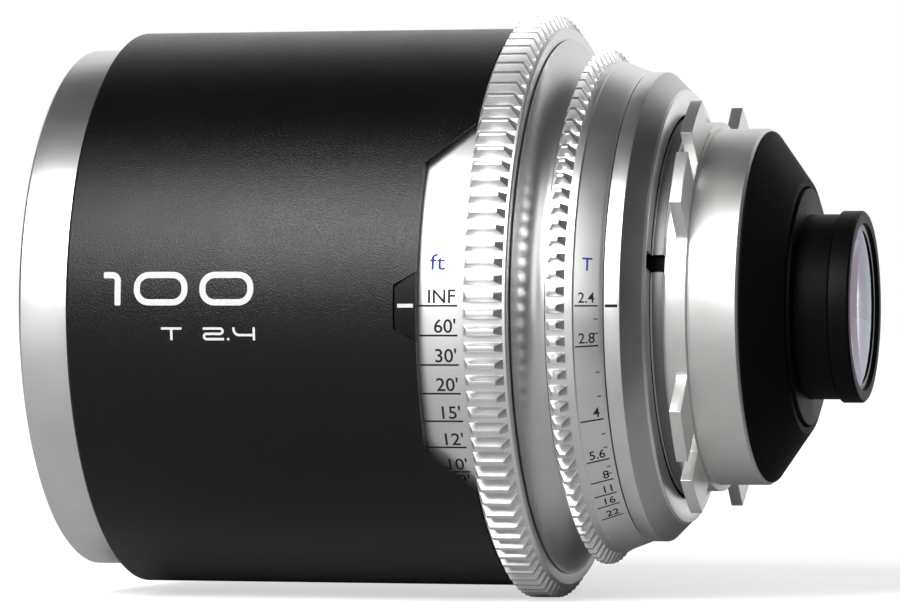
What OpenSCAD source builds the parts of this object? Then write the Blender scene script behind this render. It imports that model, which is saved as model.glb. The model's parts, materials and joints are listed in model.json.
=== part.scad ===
// Cinema prime lens on a four-ear bayonet mount.
// Every piece is drawn along the optical axis with z pointing to the scene and z = 0
// on the mount's seat, then laid down so that +X points to the camera.

/* [Front] */
// Outside diameter of the front ring, gripped by clamp-on accessories
front_d = 80; // [78:0.5:82]
// Length of the front ring ahead of the barrel
front_len = 8.2; // [7:0.1:12]
// Bore of the filter thread
filter_d = 76; // [75:0.1:76.6]
// Depth of the filter thread
filter_depth = 4.5; // [3:0.1:5]

/* [Barrel] */
// Outside diameter of the outer barrel
barrel_d = 85.2; // [84.5:0.1:87]
// Wall of the outer barrel
barrel_wall = 1.3; // [1:0.1:1.5]
// Length of the outer barrel
barrel_len = 60.6; // [58:0.2:70]
// Thickness of the lip that the front ring clamps
barrel_lip = 1.5; // [1:0.1:2.5]

/* [Scale window] */
// Length of the window along the barrel
window_len = 6.8; // [5:0.1:7.2]
// Width of the window at its front edge
window_w = 42.6; // [30:0.2:46]
// Extra width on each side at the barrel's rear edge
window_flare = 5.8; // [3:0.2:7]

/* [Index plate] */
// Length of the index plate ahead of the window
plate_len = 3.1; // [2:0.1:5]
// Width of the plate at its front edge
plate_w = 5.8; // [4:0.2:8]
// Width of the plate at the window
plate_rear_w = 10; // [8:0.2:14]
// Thickness of the plate
plate_t = 0.7; // [0.4:0.05:0.8]

/* [Gears] */
// Module of both drive gears
gear_module = 0.8; // [0.79:0.005:0.82]
// Teeth on the focus ring
focus_teeth = 109; // [108:1:112]
// Extra diameter of the iris gear's pitch circle over the index ring
iris_rise = 5.4; // [4.6:0.8:7]
// Width of a tooth at its tip
tooth_tip_w = 0.7; // [0.5:0.05:0.9]
// Width of a tooth at its root
tooth_root_w = 1.5; // [1.2:0.05:1.7]
// Length of the bevel at each end of a tooth
tooth_bevel = 1.0; // [0.5:0.05:1.3]
// Length of the focus teeth at their roots
focus_face = 6.1; // [4:0.1:8]
// Length of the iris teeth at their roots
iris_face = 3.0; // [2.8:0.1:3.6]

/* [Focus drive] */
// Turn of the focus ring from infinity to the nearest distance, in degrees
focus_turn = 180; // [120:5:200]
// Travel of the focusing group over that turn
focus_travel = 10; // [9:0.5:10.5]
// Radius of the cam rollers
roller_r = 1.8; // [1.4:0.1:1.9]
// Plain rim behind the focus teeth
focus_rim = 0.45; // [0.3:0.05:1]

/* [Cove ring] */
// Radius of the hollow between the two geared rings
cove_r = 4.1; // [3.6:0.1:4.2]

/* [Iris] */
// Turn of the iris ring from open to shut, in degrees
iris_turn = 59; // [50:1:60]
// Diameter of the open iris
iris_open_d = 37; // [34:0.5:37.5]
// Diameter of the iris at its smallest stop
iris_shut_d = 4; // [3:0.5:8]
// Thickness of an iris blade
blade_t = 0.25; // [0.15:0.05:0.3]
// Length of the plain band behind the iris teeth
iris_band = 1.2; // [0.8:0.1:2]
// Length of the sloping stop scale
stop_cone_len = 3.4; // [2.5:0.1:4]
// Length of the edge behind the stop scale
stop_edge = 0.55; // [0.4:0.05:1]

/* [Index ring] */
// Outside diameter of the fixed index ring
index_d = 71.4; // [70.6:0.2:72]
// Length of its plain band
index_band = 2.3; // [1.5:0.1:4]
// Width of the key notch
notch_w = 2.6; // [1.5:0.1:4]

/* [Mount] */
// Diameter of the throat that enters the camera
throat_d = 54; // [53:0.1:54.4]
// Length of the throat behind the seat
throat_len = 7.6; // [6:0.1:10]
// Wall of the throat
throat_wall = 2; // [1.5:0.1:2.2]
// Diameter across the ears
ear_d = 68.8; // [66:0.2:70]
// Thickness of the ears
ear_t = 1.8; // [1.4:0.1:3]
// Angle that an ear covers at its tip, in degrees
ear_span = 37; // [30:1:44]
// Width of the locating slot in each ear
slot_w = 4; // [3:0.1:5]
// Diameter of the neck between ears
neck_d = 56; // [55.4:0.1:57]
// Length of the neck ahead of the ears
neck_len = 1.4; // [1:0.1:3]
// Length of the collar ahead of the neck
collar_len = 1.6; // [1:0.1:3]
// Thickness of the back focus shim
shim_t = 0.3; // [0.1:0.05:0.6]

/* [Rear] */
// Length of the sloping rear baffle
baffle_len = 5.2; // [4:0.1:7]
// Diameter of the rear baffle's flat end
baffle_end_d = 38.6; // [37.5:0.2:42]
// Diameter of the rear cell's shoulder
shoulder_d = 35.8; // [35:0.1:36.2]
// Diameter of the rear tube
tube_d = 28; // [27.6:0.1:29]
// Length of the rear tube that shows
tube_len = 4.9; // [3:0.1:7]
// Diameter of the rear bezel
bezel_d = 29; // [28.6:0.1:31]
// Length of the rear bezel
bezel_len = 3.35; // [2.8:0.05:5]

/* [Hidden] */
$fn = 128;
silver = [0.80, 0.81, 0.82];
black = [0.07, 0.07, 0.075];
brass = [0.75, 0.62, 0.32];
steel = [0.55, 0.56, 0.58];
clear = [0.75, 0.85, 0.9, 0.4];

// Clearances: fixed fits, running fits, free gaps between bodies
seat = 0.02;
run = 0.05;
gap = 0.25;
free = 0.3;
touch = 0.05;
// Extra depth of a cut beyond what it cuts
over = 1;
// Chamfers of the larger edges and of the small ones
edge = 0.4;
bevel = 0.3;
lip = 0.2;

// Radii, from the outside in
front_r = front_d / 2;
filter_r = filter_d / 2;
front_step = 1.1;
barrel_r = barrel_d / 2;
barrel_in = barrel_r - barrel_wall;
band_t = 1.28;
plate_gap = 0.12;
band_r = barrel_in - free;
collar_r = band_r - band_t - seat;
collar_wall = 1.08;
collar_in = collar_r - collar_wall;
// The front ring's spigot clears its own step and the lip inside the barrel
lip_depth = 2.4;
spigot_r = min(front_r - front_step, barrel_in - lip_depth);
spigot_t = 3.4;
front_bore_r = spigot_r - spigot_t;
front_lip = 1;
core_in = front_bore_r - front_lip;
cell_r = core_in - run;
core_wall = 1.5;
core_r = core_in + core_wall;
cam_in = core_r + run;
cam_wall = 2.25;
cam_r = cam_in + cam_wall;
// How far the index ring's slope stands out from the main tube's rear
index_cone = 2.7;
core_rear_r = index_d / 2 - index_cone;
chamber_wall = 1.5;
chamber_r = core_rear_r - chamber_wall;
index_lip_w = 3.7;
index_lip_in = core_rear_r - index_lip_w;
boss_r = index_lip_in - free + seat;
neck_r = neck_d / 2;
collar_step = 1;
flange_r = neck_r + collar_step;
throat_r = throat_d / 2;
throat_in = throat_r - throat_wall;
mount_head_r = 1.5;
mount_screw_pitch_r = throat_in - mount_head_r - free;
// From the circle of the mount's screws in to the bore behind it
screw_inset = 2.58;
rear_bore_r = mount_screw_pitch_r - screw_inset;
web_clear = 0.38;
web_in = rear_bore_r + web_clear;
tube_r = tube_d / 2;
bezel_r = bezel_d / 2;
shoulder_r = shoulder_d / 2;

// Stations along the axis, from the seat forwards
z_ear = ear_t;
z_neck = z_ear + neck_len;
z_collar = z_neck + collar_len;
z_core = z_collar + shim_t;
web_t = 3.3;
z_web = z_collar - web_t;
lip_t = 0.7;
z_lip = z_core + lip_t;
cone_start = 0.4;
z_band = z_core + cone_start + index_cone;
z_index = z_band + index_band;
z_iris = z_index + gap;
z_stop = z_iris + stop_edge;
z_stop_front = z_stop + stop_cone_len;
z_iris_teeth = z_stop_front + iris_band;
z_iris_front = z_iris_teeth + iris_face + seat;
z_cove = z_iris_front + gap;
z_cove_front = z_cove + cove_r;
z_focus = z_cove_front + gap;
z_focus_teeth = z_focus + focus_rim;
z_focus_front = z_focus_teeth + focus_face + seat;
z_barrel = z_focus_front + gap;
z_window = z_barrel + window_len;
band_tuck = 0.9;
z_band_front = z_window + band_tuck;
collar_web = 1;
z_collar_web = z_focus_front + collar_web;
z_barrel_front = z_barrel + barrel_len;
z_core_front = z_barrel_front - barrel_lip;
z_front = z_barrel_front + front_len;
z_filter = z_front - filter_depth;

// Stations along the axis, from the seat backwards
z_throat = -throat_len;
baffle_rim = 0.25;
z_baffle = z_throat - seat - baffle_rim;
z_baffle_end = z_baffle - baffle_len;
shoulder_proud = 0.5;
z_shoulder = z_baffle_end - shoulder_proud;
z_bezel = z_shoulder - tube_len;
z_rear = z_bezel - bezel_len;

// Gears
focus_pitch_r = gear_module * focus_teeth / 2;
iris_teeth = round((index_d + iris_rise) / gear_module);
iris_pitch_r = gear_module * iris_teeth / 2;
function tip_r(pitch_r) = pitch_r + gear_module;
function root_r(pitch_r) = pitch_r - 1.25 * gear_module;
focus_root = root_r(focus_pitch_r);
iris_root = root_r(iris_pitch_r);
tooth_sink = 0.2;
near_side = -90;
// Angle by which each flank of an ear widens towards its foot
ear_ramp = 4.9;
focus_phase = near_side - 1.34;
iris_phase = near_side - 0.25;

// Iris geometry: each blade swings on a pivot and its tail pin rides in a spiral slot
blades = 9;
pivot_out = 7;
pivot_r = iris_open_d / 2 + pivot_out;
pivot_pin_r = 0.6;
// The tail is as long as the room between the pivots and the chamber wall
tail_len = chamber_r - pivot_r;
tail_pin_r = 0.4;
tail_slot_r = tail_pin_r + free;
blade_gap = 0.2;
blade_in = iris_open_d / 2 + 2 * touch;
blade_inset = 1.9;
blade_out = pivot_r - blade_inset;
blade_arc = 108;
blade_ear = 1.1;
blade_tail = 0.7;
blade_arm = 2.8;
blade_swing = 2 * asin((iris_open_d - iris_shut_d) / 4 / pivot_r);
z_base = z_index + 2 * touch;
base_t = 1.5;
z_blades = z_base + base_t + blade_gap;
z_actuator = z_blades + blades * (blade_t + blade_gap);
actuator_t = 1.3;
drive_pin_r = 0.5;
drive_angle = 191.6;
drive_margin = 2.5;
drive_in = 1.4;
drive_cover = 0.6;
z_drive = z_actuator + actuator_t / 2;
z_retainer = z_actuator + actuator_t + blade_gap;

// Focus drive: rollers on the sliding cell run in straight slots and helical slots
rollers = 3;
slot_half = roller_r + free;
z_roller = z_band_front + gap + slot_half;
cam_steps = 15;
z_cam = z_focus + 2 * touch;
core_shoulder = 4.9;
z_shoulder_front = z_core_front - core_shoulder;
z_cam_front = z_shoulder_front - free;
core_step = 0.8;
z_core_step = z_cove_front - core_step;

// Focusing group, at infinity
cell_clear = 0.6;
z_cell = z_cove_front + cell_clear;
nose_inset = 8.45;
cell_nose_r = cell_r - nose_inset;
cell_nose = 12;
z_cell_body = z_cell + cell_nose;
front_clear = 3.4;
z_cell_front = z_core_front - focus_travel - front_clear;
taper_up = 2;
taper_down = 1;

// Floor of the rear cell's front bore
rear_floor = 8;
z_rear_group = -rear_floor;

// Glass of the focusing group: walls around it, thicknesses, spaces and curves
cell_wall = 1.95;
front_glass_r = cell_r - cell_wall;
front_glass_t = 11.5;
front_glass_inset = 1.5;
front_curve = 70;
glass_step = 3;
second_glass_r = front_glass_r - glass_step;
second_glass_t = 8;
air_space = 1.5;
second_rear_curve = 120;
second_front_curve = 55;
nose_wall = 3.5;
third_glass_r = cell_nose_r - nose_wall;
third_glass_t = 2.5;
third_glass_inset = 5;
third_rear_curve = 60;
third_front_curve = 150;
z_front_glass = z_cell_front - front_glass_inset - front_glass_t;
z_second_glass = z_front_glass - air_space - second_glass_t;
z_third_glass = z_cell + third_glass_inset;

// Glass of the rear group
rear_wall = 4.12;
rear_glass_r = rear_bore_r - rear_wall;
rear_middle_inset = 0.5;
rear_middle_t = 8.5;
rear_middle_curve = 40;
rear_air = 2.5;
rear_inner_t = 2.5;
rear_inner_curve = 45;
tube_wall = 1.1;
rear_outer_r = tube_r - tube_wall;
rear_outer_inset = 0.15;
rear_outer_t = 6.3;
rear_outer_back = 140;
rear_outer_front = 45;
z_rear_middle = z_rear_group + rear_middle_inset;
z_rear_inner = z_rear_middle + rear_middle_t + rear_air;
z_rear_outer = z_rear + rear_outer_inset;

// Glass elements: edge radius, rear vertex, front vertex, rear curve, front curve
// A positive curve bulges outwards, a negative one is hollow, 0 is flat
front_glass_form = [front_glass_r, z_front_glass, z_front_glass + front_glass_t, 0, front_curve];
second_glass_form = [second_glass_r, z_second_glass, z_second_glass + second_glass_t, -second_rear_curve,
                     second_front_curve];
third_glass_form = [third_glass_r, z_third_glass, z_third_glass + third_glass_t, -third_rear_curve,
                    -third_front_curve];
rear_inner_form = [rear_glass_r, z_rear_inner, z_rear_inner + rear_inner_t, 0, -rear_inner_curve];
rear_middle_form = [rear_glass_r, z_rear_middle, z_rear_middle + rear_middle_t, rear_middle_curve,
                    rear_middle_curve];
rear_outer_form = [rear_outer_r, z_rear_outer, z_rear_outer + rear_outer_t, rear_outer_back,
                   rear_outer_front];
glass_ring = 1.5;
retainer_t = 1;
rear_cell_in = rear_middle_form[0] + 2 * touch;
rear_seat_r = rear_outer_form[0] + touch;
rear_stop_step = 1.4;
rear_stop_r = rear_outer_r - rear_stop_step;
bezel_lip = 0.65;
bezel_cover = 0.25;
bezel_clear_r = rear_outer_r - bezel_cover;
front_seat_r = front_glass_form[0] + 2 * touch;
second_seat_r = second_glass_form[0] + 2 * touch;
third_seat_r = third_glass_form[0] + 2 * touch;

// Fasteners and stop pins
mount_screws_n = 6;
mount_head_t = 1.3;
mount_thread = 4;
front_screws_n = 4;
front_screw_r = 0.7;
screw_rim = 1.25;
front_screw_pitch_r = front_bore_r + screw_rim;
head_clear = 0.15;
front_head_r = screw_rim - head_clear;
front_head_t = 1;
front_thread = 4;
set_screw_r = 0.8;
set_screw_in = 1.4;
index_screw_in = 0.9;
socket_r = 0.4;
socket_depth = 0.7;
driver_slot = 0.4;
key_slot = 1.2;
ring_screw_clear = 0.5;
far_side = [30, 90, 150];
z_cove_screws = z_cove + cove_r / 2;
z_index_screws = z_band + index_band / 2;
ring_screws_n = 3;
ring_screws_first = 30;
z_ring_screws = z_barrel + window_len / 2;
roller_screw_r = 0.9;
roller_head_r = roller_r - lip;
roller_head_t = 1;
roller_thread = 2.1;
roller_top = cam_r - 2 * touch - roller_head_t;
cove_foot = 0.7;
cove_rim = core_r + seat + cove_foot + cove_r;
stop_pin_r = 0.7;
stop_pin_in = 1.1;
focus_stop_r = cove_rim - stop_pin_r - free;
focus_stop_angle = 60;
iris_stop_pin_r = 0.6;
iris_rear_r = index_d / 2 - lip;
iris_stop_r = (core_rear_r + run + iris_rear_r) / 2;
iris_stop_angle = 120;
stop_groove = 1.9;
// Stray light baffles: ridges ahead of the front glass and walls around the rear cell
ridge_root = 0.4;
ridge_crest = 1.6;
ridge_taper = 0.3;
baffle_wall = 1.5;
baffle_spigot = 4;
spigot_wall = 1;
notch_angle = near_side + 12.7;

function polar(r, a) = [r * cos(a), r * sin(a)];
function spin(v, a) = [v.x * cos(a) - v.y * sin(a), v.x * sin(a) + v.y * cos(a)];
function arc_deg(length, r) = length / r * 180 / PI;
function sag(curve, r) = abs(curve) - sqrt(curve * curve - r * r);

// Lays the drawn axis down along X
module lay() {
    rotate([0, -90, 0]) children();
}

// A turned solid from points of radius and height
module turned(points) {
    rotate_extrude() polygon(points);
}

module ring(r_in, r_out, z0, z1) {
    turned([[r_in, z0], [r_out, z0], [r_out, z1], [r_in, z1]]);
}

// A slice of a ring between two angles
module ring_slice(r_in, r_out, z0, z1, a0, a1) {
    rotate(a0) rotate_extrude(angle = a1 - a0)
        polygon([[r_in, z0], [r_out, z0], [r_out, z1], [r_in, z1]]);
}

// A pin that stands along a radius
module radial_pin(r, r_in, r_out, angle, z) {
    rotate(angle) translate([r_in, 0, z]) rotate([0, 90, 0]) cylinder(r = r, h = r_out - r_in);
}

// A pin that stands along the axis
module axial_pin(r, place_r, angle, z0, z1) {
    rotate(angle) translate([place_r, 0, z0]) cylinder(r = r, h = z1 - z0);
}

module around(count, first = 0) {
    for (i = [0:count - 1]) rotate(first + i * 360 / count) children();
}

// A polished element with true spherical faces
module element(form) {
    r = form[0];
    z0 = form[1];
    z1 = form[2];
    rear = form[3];
    front = form[4];
    low = rear < 0 ? z0 - sag(rear, r) : z0;
    high = front < 0 ? z1 + sag(front, r) : z1;
    difference() {
        intersection() {
            translate([0, 0, low]) cylinder(r = r, h = high - low);
            if (rear > 0) translate([0, 0, z0 + rear]) sphere(r = rear);
            if (front > 0) translate([0, 0, z1 - front]) sphere(r = front);
        }
        if (rear < 0) translate([0, 0, z0 + rear]) sphere(r = -rear);
        if (front < 0) translate([0, 0, z1 - front]) sphere(r = -front);
    }
}

// A ring of teeth, bevelled at both ends and sunk a little into the ring that carries them
module teeth_around(teeth, pitch_r, z0, face, phase) {
    top = tip_r(pitch_r);
    root = root_r(pitch_r);
    foot = root - tooth_sink;
    foot_w = tooth_root_w + (tooth_root_w - tooth_tip_w) * tooth_sink / (top - root);
    half_tip = arc_deg(tooth_tip_w / 2, top);
    half_foot = arc_deg(foot_w / 2, foot);
    outline = [for (i = [0:teeth - 1])
        for (corner = [[foot, -half_foot], [top, -half_tip], [top, half_tip], [foot, half_foot]])
            polar(corner[0], phase + i * 360 / teeth + corner[1])];
    intersection() {
        translate([0, 0, z0]) linear_extrude(face) difference() {
            polygon(outline);
            circle(r = foot - over);
        }
        turned([[foot - 2 * over, z0], [root - touch, z0], [top, z0 + tooth_bevel],
                [top, z0 + face - tooth_bevel], [root - touch, z0 + face], [foot - 2 * over, z0 + face]]);
    }
}

// The key notch in the rear faces around the neck
module notch() {
    reach = core_rear_r - neck_r - collar_step;
    rotate(notch_angle) translate([neck_r - seat, -notch_w / 2, z_neck])
        cube([reach, notch_w, z_lip + lip_t - z_neck]);
}

// An outline of width and height, cut through the near half from the scale side
module from_near_side(points) {
    rotate([90, 0, 0]) linear_extrude(barrel_r + over) polygon(points);
}

module window_cut() {
    wide = window_w / 2 + window_flare;
    from_near_side([[-wide, z_barrel - seat], [wide, z_barrel - seat],
                    [window_w / 2, z_window], [-window_w / 2, z_window]]);
}

module plate_outline(margin) {
    rear = plate_rear_w / 2 + margin;
    front = plate_w / 2 + margin;
    z1 = z_window + plate_len;
    from_near_side([[-rear, z_window - margin], [rear, z_window - margin],
                    [front, z1 + margin], [-front, z1 + margin]]);
}

// Fixed housing

module front_ring() color(silver) difference() {
    turned([[front_bore_r, z_core_front], [spigot_r, z_core_front], [spigot_r, z_barrel_front],
            [front_r, z_barrel_front], [front_r, z_front - edge], [front_r - edge, z_front],
            [filter_r, z_front], [filter_r, z_filter], [front_bore_r, z_filter]]);
    around(front_screws_n, 45) {
        axial_pin(front_screw_r + seat, front_screw_pitch_r, 0, z_core_front - over, z_filter);
        axial_pin(front_head_r + seat, front_screw_pitch_r, 0, z_filter - front_head_t, z_filter + over);
    }
}

module front_ring_screws() color(steel) around(front_screws_n, 45) {
    z_head = z_filter - front_head_t + seat;
    axial_pin(front_screw_r, front_screw_pitch_r, 0, z_core_front - front_thread, z_head);
    difference() {
        axial_pin(front_head_r, front_screw_pitch_r, 0, z_head, z_filter - touch);
        translate([front_screw_pitch_r, 0, z_filter - front_head_t / 2])
            cylinder(r = front_head_r / 2, h = over, $fn = 6);
    }
}

// Ridged ring that stops stray light ahead of the front glass
module front_baffle() {
    ridges = 4;
    z0 = z_core_front + touch;
    step = (z_filter - z0) / ridges;
    outside = front_bore_r - seat;
    root = outside - ridge_root;
    crest = outside - ridge_crest;
    color(black) turned(concat(
        [[outside, z_filter], [outside, z0]],
        [for (i = [0:ridges - 1])
            for (p = [[crest, 0], [crest, 0.25], [root - (ridges - i) * ridge_taper / ridges, 0.5]])
                [p[0] + (p[0] == crest ? i * ridge_taper : 0), z0 + (i + p[1]) * step]],
        [[root, z_filter]]));
}

module outer_barrel() color(black) difference() {
    turned([[barrel_in, z_barrel], [barrel_r, z_barrel], [barrel_r, z_barrel_front - edge],
            [barrel_r - edge, z_barrel_front], [spigot_r + seat, z_barrel_front],
            [spigot_r + seat, z_core_front + seat], [barrel_in, z_core_front + seat]]);
    window_cut();
    difference() {
        plate_outline(plate_gap);
        cylinder(r = barrel_r - plate_t - seat, h = z_front);
    }
}

module index_plate() color(black) intersection() {
    plate_outline(0);
    ring(barrel_r - plate_t, barrel_r, z_window, z_window + plate_len);
}

// Main tube: camera end, iris chamber, then the guide that the focusing cell slides in
module core_tube() color(black) difference() {
    turned([[rear_bore_r, z_core], [boss_r, z_core], [boss_r, z_lip],
            [core_rear_r, z_lip], [core_rear_r, z_cove], [core_r, z_cove], [core_r, z_shoulder_front],
            [barrel_in - seat, z_shoulder_front], [barrel_in - seat, z_core_front], [core_in, z_core_front],
            [core_in, z_core_step], [chamber_r, z_core_step], [chamber_r, z_base], [rear_bore_r, z_base]]);
    around(rollers) {
        for (z = [z_roller, z_roller + focus_travel])
            radial_pin(slot_half, core_in - over, core_r + over, 0, z);
        translate([core_in - over, -slot_half, z_roller])
            cube([core_r - core_in + 2 * over, 2 * slot_half, focus_travel]);
    }
    ring_slice(chamber_r - over, core_rear_r + over, z_drive - drive_pin_r - free,
               z_drive + drive_pin_r + free, drive_angle - drive_margin,
               drive_angle + iris_turn + drive_margin);
    around(mount_screws_n)
        axial_pin(set_screw_r + seat, mount_screw_pitch_r, 0, z_core - over, z_core + mount_thread + free);
    around(front_screws_n, 45)
        axial_pin(front_screw_r + seat, front_screw_pitch_r, 0, z_core_front - front_thread - free, z_front);
    for (a = far_side) {
        radial_pin(set_screw_r + seat, core_r - set_screw_in - touch, core_r + over, a, z_cove_screws);
        radial_pin(set_screw_r + seat, core_rear_r - index_screw_in - touch, core_rear_r + over, a,
                   z_index_screws);
    }
    notch();
}

// Hollowed cover ring between the two geared rings
module cove_ring() color(silver) difference() {
    rotate_extrude() difference() {
        translate([core_r + seat, z_cove]) square([cove_foot + cove_r, cove_r]);
        translate([cove_rim, z_cove]) circle(r = cove_r);
    }
    for (a = far_side) radial_pin(set_screw_r + seat, core_r - over, cove_rim + over, a, z_cove_screws);
    axial_pin(stop_pin_r + seat, focus_stop_r, focus_stop_angle, z_cove_front - stop_pin_in - touch,
              z_cove_front + over);
}

// A headless screw along a radius, with a hexagonal socket at its outer end
module set_screw(r_in, r_out, angle, z) difference() {
    radial_pin(set_screw_r, r_in, r_out, angle, z);
    rotate(angle) translate([r_out - socket_depth, 0, z]) rotate([0, 90, 0])
        cylinder(r = socket_r, h = over, $fn = 6);
}

module cove_ring_screws() color(steel) for (a = far_side)
    set_screw(core_r - set_screw_in, core_r + set_screw_in, a, z_cove_screws);

module index_ring() color(silver) difference() {
    turned([[index_lip_in, z_core], [core_rear_r - lip, z_core], [core_rear_r, z_core + cone_start],
            [index_d / 2, z_band], [index_d / 2, z_index], [core_rear_r + seat, z_index],
            [core_rear_r + seat, z_lip - seat], [index_lip_in, z_lip - seat]]);
    for (a = far_side)
        radial_pin(set_screw_r + seat, core_rear_r - over, index_d / 2 + over, a, z_index_screws);
    axial_pin(iris_stop_pin_r + seat, iris_stop_r, iris_stop_angle, z_index - stop_pin_in - touch,
              z_index + over);
    notch();
}

module index_ring_screws() color(steel) for (a = far_side)
    set_screw(core_rear_r - index_screw_in, index_d / 2 - edge, a, z_index_screws);

module mount_shim() color(steel) difference() {
    ring(web_in + lip, flange_r - lip, z_collar, z_core);
    around(mount_screws_n)
        axial_pin(set_screw_r + seat, mount_screw_pitch_r, 0, z_collar - over, z_core + over);
    notch();
}

// Flat outline of the four ears with their locating slots
module ear_outline() {
    reach = 2 * ear_d;
    tip = ear_span / 2;
    foot = tip + ear_ramp;
    difference() {
        circle(r = ear_d / 2);
        circle(r = throat_in);
        around(4) polygon([polar(neck_r, -45 + foot), polar(ear_d / 2, -45 + tip), polar(reach, -45 + tip),
                           polar(reach, 45 - tip), polar(ear_d / 2, 45 - tip), polar(neck_r, 45 - foot),
                           polar(neck_r - seat, 30 - foot), polar(neck_r - seat, foot - 30)]);
        around(4, 45) translate([neck_r + free, -slot_w / 2]) square([reach, slot_w]);
    }
}

module mount_flange() color(steel) difference() {
    union() {
        linear_extrude(ear_t) ear_outline();
        turned([[web_in, z_web], [throat_in, z_web], [throat_in, z_throat], [throat_r - edge, z_throat],
                [throat_r, z_throat + edge], [throat_r, 0], [neck_r, 0], [neck_r, z_neck],
                [flange_r, z_neck], [flange_r, z_collar], [web_in, z_collar]]);
    }
    around(mount_screws_n)
        axial_pin(set_screw_r + seat, mount_screw_pitch_r, 0, z_web - over, z_collar + over);
    notch();
}

module mount_screws() color(steel) around(mount_screws_n) difference() {
    union() {
        axial_pin(set_screw_r, mount_screw_pitch_r, 0, z_web - mount_head_t / 2, z_core + mount_thread);
        axial_pin(mount_head_r, mount_screw_pitch_r, 0, z_web - mount_head_t, z_web - seat);
    }
    translate([mount_screw_pitch_r, 0, z_web - mount_head_t - over])
        cylinder(r = mount_head_r / 2, h = over + mount_head_t / 2, $fn = 6);
}

// Sloping black baffle that closes the throat
module rear_baffle() {
    outside = throat_in - seat;
    inside = outside - spigot_wall;
    hole_r = shoulder_r + free;
    color(black) turned([[inside, z_throat + baffle_spigot], [outside, z_throat + baffle_spigot],
        [outside, z_throat - seat], [throat_r - edge, z_throat - seat], [throat_r - edge, z_baffle],
        [baffle_end_d / 2, z_baffle_end], [hole_r, z_baffle_end], [hole_r, z_baffle_end + baffle_wall],
        [inside, z_baffle + free]]);
}

// Rear lens group

module rear_cell() {
    z_stop_face = rear_outer_form[2] - sag(rear_outer_form[4], rear_stop_r) + touch;
    z_face = z_base - 2 * touch;
    z_end = z_rear + bezel_lip + seat;
    outside = rear_bore_r - seat;
    color(black) turned([[rear_cell_in, z_rear_group], [rear_cell_in, z_face], [outside, z_face],
        [outside, 0], [shoulder_r, 0], [shoulder_r, z_shoulder], [tube_r, z_shoulder], [tube_r, z_bezel],
        [tube_r - edge, z_bezel], [tube_r - edge, z_end], [rear_seat_r, z_end], [rear_seat_r, z_stop_face],
        [rear_stop_r, z_stop_face], [rear_stop_r, z_rear_group]]);
}

module rear_bezel() {
    inside = tube_r - edge + seat;
    color(black) turned([[bezel_clear_r, z_rear], [bezel_r - bevel, z_rear], [bezel_r, z_rear + bevel],
        [bezel_r, z_bezel - bevel], [bezel_r - bevel, z_bezel - seat], [inside, z_bezel - seat],
        [inside, z_rear + bezel_lip], [bezel_clear_r, z_rear + bezel_lip]]);
}

module rear_glass_outer() color(clear) element(rear_outer_form);
module rear_glass_middle() color(clear) element(rear_middle_form);
module rear_glass_inner() color(clear) element(rear_inner_form);

module rear_spacer() {
    r_in = rear_middle_form[0] - glass_ring;
    top = rear_middle_form[1] + sag(rear_middle_form[3], r_in) - touch;
    color(black) ring(r_in, rear_cell_in - seat, z_rear_group, top);
}

module rear_middle_spacer() {
    r_in = rear_middle_form[0] - glass_ring;
    low = rear_middle_form[2] - sag(rear_middle_form[4], r_in) + touch;
    color(black) ring(r_in, rear_cell_in - seat, low, rear_inner_form[1] - seat);
}

module rear_retaining_ring() {
    z0 = rear_inner_form[2] + sag(rear_inner_form[4], rear_inner_form[0]) + seat;
    color(brass) ring(rear_inner_form[0] - glass_ring, rear_cell_in - seat, z0, z0 + retainer_t);
}

// Iris

// Path of a blade's tail pin, seen from the turning actuator, for a share of the full turn
function tail_at(share) =
    spin([pivot_r, 0] + spin([0, -tail_len], share * blade_swing), -share * iris_turn);

module tail_slot() {
    steps = 14;
    path = [for (i = [0:steps]) tail_at(i / steps)];
    side = [for (i = [0:steps])
        let (along = path[min(i + 1, steps)] - path[max(i - 1, 0)])
            spin(along, 90) / norm(along) * tail_slot_r];
    polygon(concat([for (i = [0:steps]) path[i] + side[i]], [for (i = [steps:-1:0]) path[i] - side[i]]));
    for (p = [path[0], path[steps]]) translate(p) circle(r = tail_slot_r, $fn = 32);
}

module iris_base() color(black) difference() {
    ring(iris_open_d / 2, chamber_r - seat, z_base, z_base + base_t);
    around(blades) axial_pin(pivot_pin_r + run, pivot_r, 0, z_base - over, z_base + base_t + over);
}

module iris_actuator() color(steel) difference() {
    translate([0, 0, z_actuator]) linear_extrude(actuator_t) difference() {
        circle(r = chamber_r - run);
        circle(r = blade_in + edge);
        around(blades) tail_slot();
    }
    radial_pin(drive_pin_r + seat, chamber_r - drive_in - touch, chamber_r + over, drive_angle, z_drive);
}

module iris_retaining_ring() color(brass)
    ring(chamber_r - glass_ring, chamber_r - seat, z_retainer, z_retainer + retainer_t);

// A curved blade with its pivot pin below and its tail pin above
module iris_blade(index) {
    z0 = z_blades + index * (blade_t + blade_gap);
    ear = pivot_pin_r + blade_ear;
    tail = tail_pin_r + blade_tail;
    color([0.2, 0.2, 0.21]) rotate(index * 360 / blades) {
        translate([0, 0, z0]) linear_extrude(blade_t) {
            rotate(-4) intersection() {
                difference() {
                    circle(r = blade_out);
                    circle(r = blade_in);
                }
                polygon([[0, 0], polar(2 * blade_out, 0), polar(2 * blade_out, blade_arc / 2),
                         polar(2 * blade_out, blade_arc)]);
            }
            translate([pivot_r, 0]) circle(r = ear);
            translate([blade_in + over, -blade_arm / 2]) square([pivot_r - blade_in - over, blade_arm]);
            translate([pivot_r - tail, -tail_len]) square([2 * tail, tail_len]);
            translate([pivot_r, -tail_len]) circle(r = tail);
        }
        axial_pin(pivot_pin_r, pivot_r, 0, z_base + touch, z0 + blade_t);
        translate([pivot_r, -tail_len, z0])
            cylinder(r = tail_pin_r, h = z_actuator + actuator_t - touch - z0);
    }
}

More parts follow.
